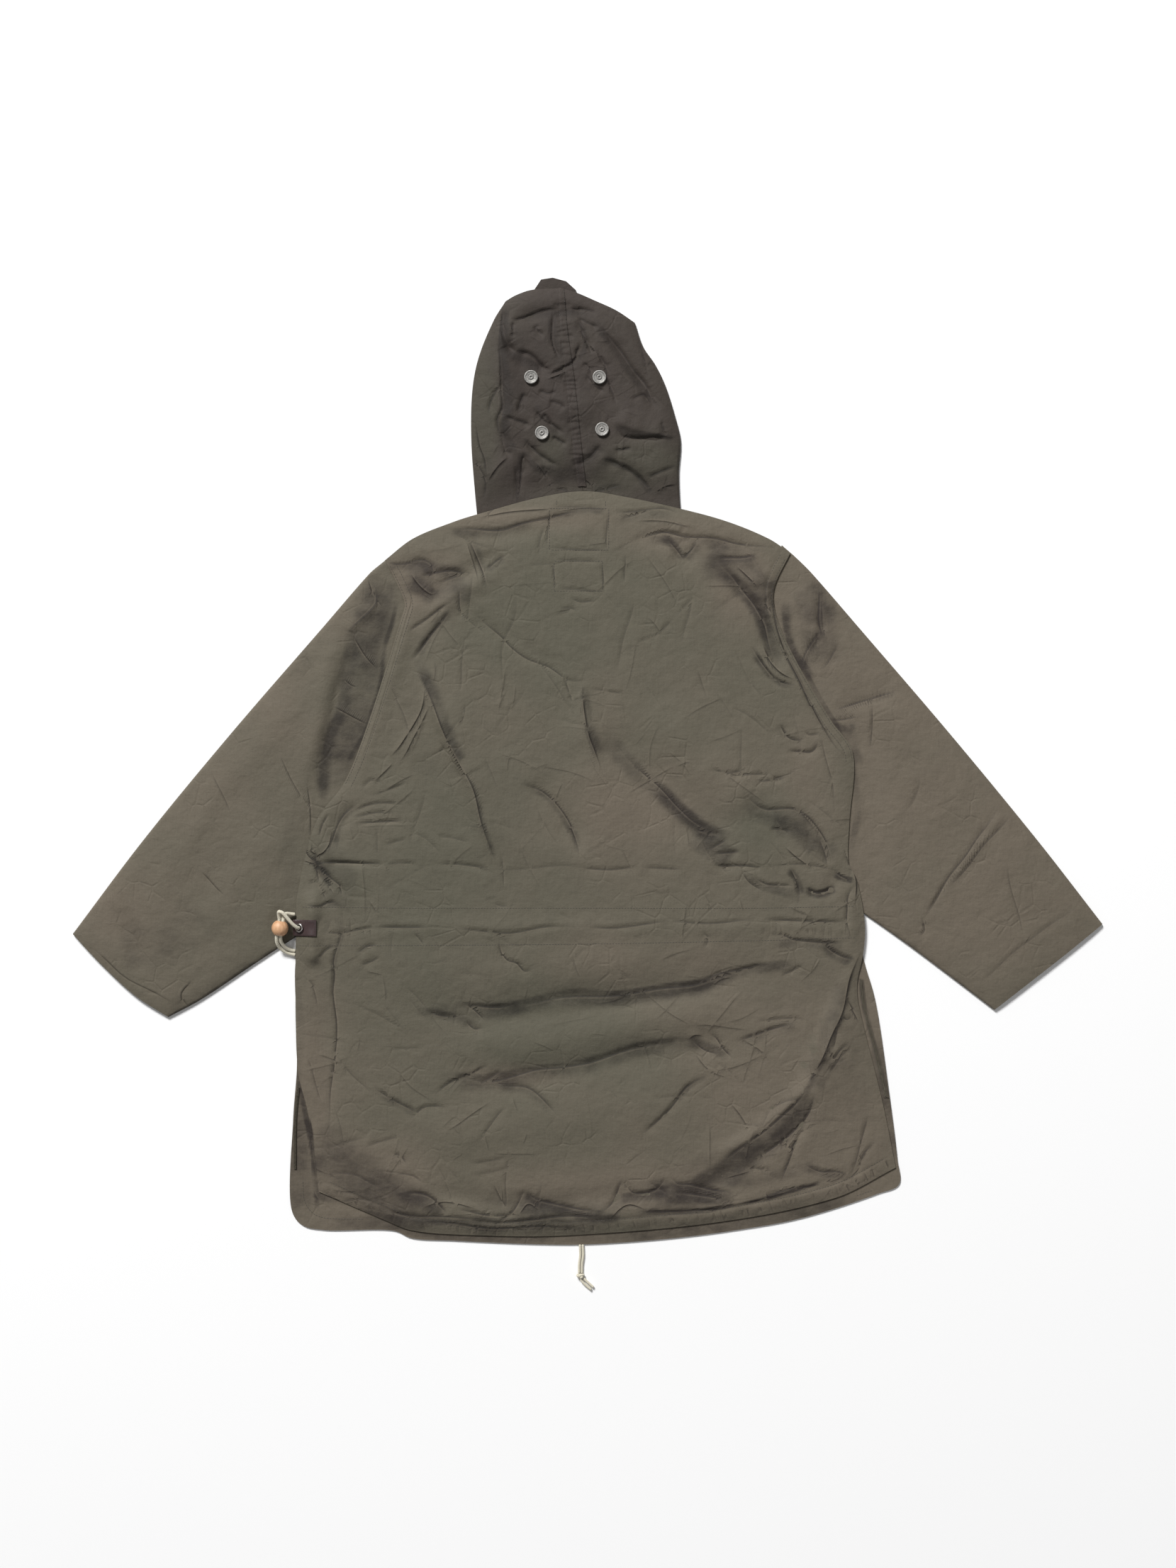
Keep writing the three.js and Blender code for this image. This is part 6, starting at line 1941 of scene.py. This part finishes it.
front = flat_shell(
    "front_cloth",
    closed_curve(FRONT_OUTLINE, 960),
    np.array([0.0, -130.0]),
    (0, 0.5, 1.5, 4, 6.5, 9, 11.5, 14, 16.5, 19, 21.5, 24, 27, 30, 34),
    level_top,
    WALL,
)
# Painted shadow along the back's edges, where the front shows beside and below them, and painted shade at its lower
# corners
FRONT_SHADES = [
    shade(0.90, 3, 4, (-325, -340), (-322, -360), (-317, -388), (-307, -436), (-303, -480),
          (-302, -512)),
    shade(0.62, 10, 12, (-312, -506), (-280, -514), (-220, -516), (-190, -524), (-100, -530),
          (0, -532)),
    shade(0.58, 10, 12, (-60, -532), (60, -528), (170, -516), (250, -500), (330, -478)),
    shade(0.52, 16, 16, (322, -300), (334, -390), (343, -462)),
    shade(0.56, 22, 22, (-332, -330), (-328, -420), (-322, -500), (-310, -520)),
]
front_places = np.array([vertex.co[:2] for vertex in front.data.vertices]) / MM
paint(
    front,
    brown=np.full(len(front_places), 1.0),
    dark=shades_drawn(FRONT_SHADES, *front_places.T),
)
piece(front, body_cotton, "shell_cotton", "front_panel")
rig.sheet(front, flat=(0.70, 0.84), area=0.44, held="laid")


# Hardware

def upper_side(made):
    """A tree that finds the height of a piece's upper side."""
    mesh = made.data
    places = np.empty(3 * len(mesh.vertices), np.float32)
    mesh.vertices.foreach_get("co", places)
    faces = [tuple(polygon.vertices) for polygon in mesh.polygons]
    return BVHTree.FromPolygons(places.reshape(-1, 3).tolist(), faces)


def height_at(trees, x, y):
    """The highest point and its normal at a place, over some pieces."""
    best, facing = -1.0, Vector((0, 0, 1))
    for tree in trees:
        point, normal, _, _ = tree.ray_cast(Vector((x * MM, y * MM, 0.1)), Vector((0, 0, -1)))
        if point is not None and point.z > best:
            best, facing = point.z, normal
    return best / MM, np.array(facing)


back_tree = upper_side(back_cloth)
hood_trees = [upper_side(bpy.data.objects[f"hood_cloth_{side}"]) for side in ("left", "right")]
fell_tree = upper_side(fell)


BUTTON_RADIUS = 7.6


def tack_buttons():
    """Dished discs with a rolled rim, a ring inside it and a stud in the middle."""
    profile = [
        (0, 0), (6.6, 0), (7.3, 0.5), (BUTTON_RADIUS, 1.2), (BUTTON_RADIUS, 2.3), (7.4, 2.7),
        (6.9, 2.9),
        (6.3, 2.8), (5.9, 2.5), (5.6, 2.2), (5.2, 2.1), (4.0, 2.1), (3.6, 2.0), (3.3, 1.6),
        (3.0, 1.6), (2.7, 2.4), (2.3, 2.75), (1.7, 2.8), (1.2, 2.6), (0.9, 1.3), (0, 1.2),
    ]
    points, faces = turned(profile, 48)
    for name, (x, y) in BUTTON_PLACES.items():
        around = [
            height_at(hood_trees, x + BUTTON_RADIUS * math.cos(a), y + BUTTON_RADIUS * math.sin(a))[0]
            for a in np.linspace(0, TURN, 12, endpoint=False)
        ]
        seat = max(around) + 0.3
        made = new_object(f"tack_button_{name}", points + (x, y, seat), faces, smooth_angle=40)
        piece(made, nickel, "button_metal", f"hood_button_{name}")


tack_buttons()

TAB = {"inner": -302.0, "edge": -324.8, "top": -177.0, "bottom": -195.0, "thickness": 1.5}
TAB_GRID = 25
TAB_BEND = 6


def leather_tab():
    """A strip of leather over the panel's edge, bent down just past it."""
    xs = np.linspace(TAB["inner"], TAB["edge"], TAB_GRID)
    ys = np.linspace(TAB["bottom"], TAB["top"], TAB_GRID)
    under = np.empty((TAB_GRID, TAB_GRID + TAB_BEND, 3))
    for i, y in enumerate(ys):
        for j, x in enumerate(xs):
            under[i, j] = (x, y, height_at([back_tree], x - 0.05 if j == 0 else x, y)[0] + 0.5)
        edge = under[i, TAB_GRID - 1, 2]
        for j, share in enumerate(np.linspace(1 / TAB_BEND, 1, TAB_BEND)):
            out = 3.8 * share
            drop = 1.2 * max(share - 0.3, 0) / 0.7
            under[i, TAB_GRID + j] = (TAB["edge"] - out, y, edge - drop)
    outer = under + (0, 0, TAB["thickness"])
    edge_round = np.minimum(np.arange(TAB_GRID), np.arange(TAB_GRID)[::-1])
    outer[..., 2] -= 0.35 * np.exp(-(edge_round[:, None] / 0.9) ** 2)
    made = closed_shell("leather_tab", outer[:, ::-1], under[:, ::-1])
    return piece(made, smooth_leather(), "tab_leather", "waist_tab")


tab = leather_tab()


def eyelet():
    """A rolled ring on a flat washer, facing as its solid does."""
    node = frame["nodes"]["waist_eyelet"]
    places = np.array([vertex.co for vertex in node.data.vertices]) / MM
    low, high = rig.box("waist_eyelet")
    centre = np.array((low + high) / 2) / MM
    _, _, axes = np.linalg.svd(places - places.mean(0), full_matrices=False)
    up = axes[2] * np.sign(axes[2][2])
    side = axes[0]
    middle, thick = 4.1, 0.9
    profile = [
        (middle + thick * math.cos(a), thick * math.sin(a)) for a in np.linspace(0, TURN, 17)
    ]
    points, faces = turned(profile[::-1], 48)
    turn = np.stack([side, np.cross(up, side), up], axis=1)
    made = new_object("eyelet_ring", points @ turn.T + centre, faces)
    return piece(made, bright_nickel, "eyelet_metal", "waist_eyelet")


eyelet()


# Zips

ZIP_LINES = {
    "left": [(-324.6, -364), (-327.8, -400), (-328.2, -456)],
    "right": [(302.5, -244), (306, -274), (319, -324), (331, -376)],
}
ZIP_WIDTH = {"left": 3.0, "right": 5.5}
ZIP_FLOOR = WALL + 0.3
TAPE_THICKNESS = 0.7
TOOTH = (1.5, 0.8, 0.9)
TOOTH_PITCH = 1.7
TOOTH_ROWS_APART = 1.1


def box_points(centre, along, size):
    """Corners of a block that is turned to a direction in the plane."""
    across = np.array([-along[1], along[0]])
    corners = []
    for sx, sy, sz in [(i, j, k) for k in (-1, 1) for i, j in ((-1, -1), (1, -1), (1, 1), (-1, 1))]:
        flat = np.array(centre[:2]) + sx * size[0] / 2 * across + sy * size[1] / 2 * along
        corners.append((*flat, centre[2] + sz * size[2] / 2))
    return corners


BOX_FACES = [(3, 2, 1, 0), (4, 5, 6, 7), (0, 1, 5, 4), (1, 2, 6, 5), (2, 3, 7, 6), (3, 0, 4, 7)]


def zip_band(side):
    at = curve_through(ZIP_LINES[side])
    width = ZIP_WIDTH[side]
    line = at(np.linspace(0, 1, 61))
    level = np.full(len(line), ZIP_FLOOR)
    columns = [
        np.stack([line[:, 0] + across, line[:, 1], level], axis=1)
        for across in np.linspace(0, width, 7)
    ]
    rows = np.stack(columns, axis=1)
    tape = closed_shell(f"zip_tape_{side}", rows + (0, 0, TAPE_THICKNESS), rows)
    paint(tape, brown=np.full(4, 0.8), dark=np.full(4, 0.5))
    piece(tape, body_cotton, "zip_metal")
    length = steps_of(line).sum()
    points, faces = [], []
    for k in range(int(length / TOOTH_PITCH)):
        here = at(k * TOOTH_PITCH / length)
        ahead = at(min(k * TOOTH_PITCH / length + 0.01, 1)) - here
        if np.linalg.norm(ahead) < 1e-6:
            continue
        along = ahead / np.linalg.norm(ahead)
        for row in (0, 1):
            offset = width / 2 + (row - 0.5) * TOOTH_ROWS_APART
            centre = (here[0] + offset, here[1] - row * TOOTH_PITCH / 2, ZIP_FLOOR + 1.15)
            start = len(points)
            points += box_points(centre, along, TOOTH)
            faces += [tuple(start + corner for corner in face) for face in BOX_FACES]
    teeth = new_object(f"zip_teeth_{side}", points, faces, smooth_angle=20)
    piece(teeth, zip_metal, "zip_metal", f"zip_{side}")


for side in ("left", "right"):
    zip_band(side)


# Sewing

def stitches(name, trees, lines, pitch=3.2, length=2.3, width=0.55):
    """Runs of stitches that lie on the cloth along lines."""
    points, faces = [], []
    for line in lines:
        path = line_of(line, 12)
        steps = lengths_along(path)
        middles = np.arange(pitch / 2, steps[-1], pitch)
        for middle in middles:
            if middle + 0.5 > steps[-1]:
                continue
            x, y = (np.interp(middle, steps, path[:, k]) for k in range(2))
            x2, y2 = (np.interp(middle + 0.5, steps, path[:, k]) for k in range(2))
            z, up = height_at(trees, x, y)
            if z < 0 or up[2] < 0.3:
                continue
            ahead = np.array([x2 - x, y2 - y, 0.0])
            ahead -= up * ahead.dot(up)
            ahead /= np.linalg.norm(ahead) + 1e-9
            side = np.cross(up, ahead)
            start = len(points)
            for reach, size in ((-0.5, 0.35), (-0.25, 1), (0.25, 1), (0.5, 0.35)):
                middle_point = np.array([x, y, z]) + ahead * reach * length
                for corner_side, corner_up in ((-1, 0), (0, 1), (1, 0), (0, -1)):
                    offset = side * corner_side + up * corner_up * 0.7
                    points.append(middle_point + up * 0.05 + offset * width / 2 * size)
            for ring in range(3):
                for j in range(4):
                    k = (j + 1) % 4
                    a, b = start + 4 * ring, start + 4 * ring + 4
                    faces.append((a + j, b + j, b + k, a + k))
            faces.append(tuple(start + j for j in (0, 1, 2, 3)))
            faces.append(tuple(start + 12 + j for j in (3, 2, 1, 0)))
    made = new_object(name, np.array(points), faces, smooth_angle=60)
    return piece(made, sewing_thread, "shell_cotton")


def beside_edge(edge, inset, low, high):
    """A line that runs inside an edge of a panel, at a distance from it to its left as walked."""
    at = curve_through([point[:2] for point in edge])
    here = at(np.linspace(low, high, 40))
    ahead = np.gradient(here, axis=0)
    ahead /= np.linalg.norm(ahead, axis=1)[:, None]
    return here + inset * np.stack([-ahead[:, 1], ahead[:, 0]], axis=1)


back_lines = [
    *(line for sides in LABEL_RECTANGLES for line in rectangle(*sides)),
    [(-34.6, 291.0), (-34.6, 283.6)],
    [(20.0, 290.0), (20.0, 283.2)],
    [(-318, -163), (-200, -164), (0, -164), (200, -164), (296, -162)],
    [(-322, -206), (-200, -205.5), (0, -204), (200, -200), (300, -197)],
    beside_edge(BACK_HEM, HEM_CHANNEL, 0.01, 0.99),
    beside_edge(BACK_LEFT, -2.0, 0.64, 0.99),
    beside_edge(BACK_LEFT, -9.0, 0.64, 0.99),
    beside_edge(BACK_RIGHT, 2.0, 0.64, 0.99),
    beside_edge(BACK_RIGHT, 9.0, 0.64, 0.99),
]
stitches("back_stitching", [back_tree], back_lines)
front_lines = [
    [(-318, -470), (-316, -492), (-306, -506), (-290, -511), (-250, -512)],
    [(300, -486), (318, -480)],
]
stitches("front_stitching", [upper_side(front)], front_lines)
hood_lines = [
    beside_edge(HOOD_SEAM, 3.2, 0.08, 0.99),
    beside_edge(HOOD_SEAM, -3.2, 0.08, 0.99),
]
stitches("hood_stitching", [fell_tree], hood_lines, pitch=2.8, length=2.0, width=0.5)
tab_tree = upper_side(tab)
tab_lines = [
    [(-303.6, -179), (-320, -179)],
    [(-303.6, -193), (-320, -193)],
    [(-303.6, -193), (-303.6, -179)],
]
stitches("tab_stitching", [tab_tree], tab_lines, pitch=2.6, length=1.9, width=0.5)


# Surface and light

def plain_material(name, color, roughness):
    made = Finish(name, roughness)
    return made.finish((*color, 1))


bpy.ops.mesh.primitive_plane_add(size=12, location=(0, 0, -0.0004))
floor = bpy.context.object
floor.name = "floor"
floor.data.materials.append(plain_material("floor", (0.96, 0.96, 0.96), 0.9))
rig.stage(floor)


def area_light(name, place, target, size, power):
    data = bpy.data.lights.new(name, "AREA")
    data.shape = "DISK"
    data.size = size
    data.energy = power
    made = bpy.data.objects.new(name, data)
    made.location = place
    toward = Vector(target) - Vector(place)
    made.rotation_euler = toward.to_track_quat("-Z", "Y").to_euler()
    bpy.context.scene.collection.objects.link(made)


area_light("key", (-3.2, 6.4, 6.1), (0, -0.05, 0), 2.9, 1150)
area_light("fill", (1.6, -1.6, 3.0), (0, 0, 0), 3.0, 14)
world = bpy.data.worlds.new("studio")
world.use_nodes = True
world.node_tree.nodes["Background"].inputs["Color"].default_value = (1, 1, 1, 1)
world.node_tree.nodes["Background"].inputs["Strength"].default_value = 0.2
bpy.context.scene.world = world
bpy.context.scene.view_settings.view_transform = "Standard"

visual_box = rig.bounds()
sizes = {
    "cad": [list(corner) for corner in cad_box],
    "visual": [list(corner) for corner in visual_box],
}
with open("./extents.json", "w") as size_file:
    json.dump(sizes, size_file, indent=1)
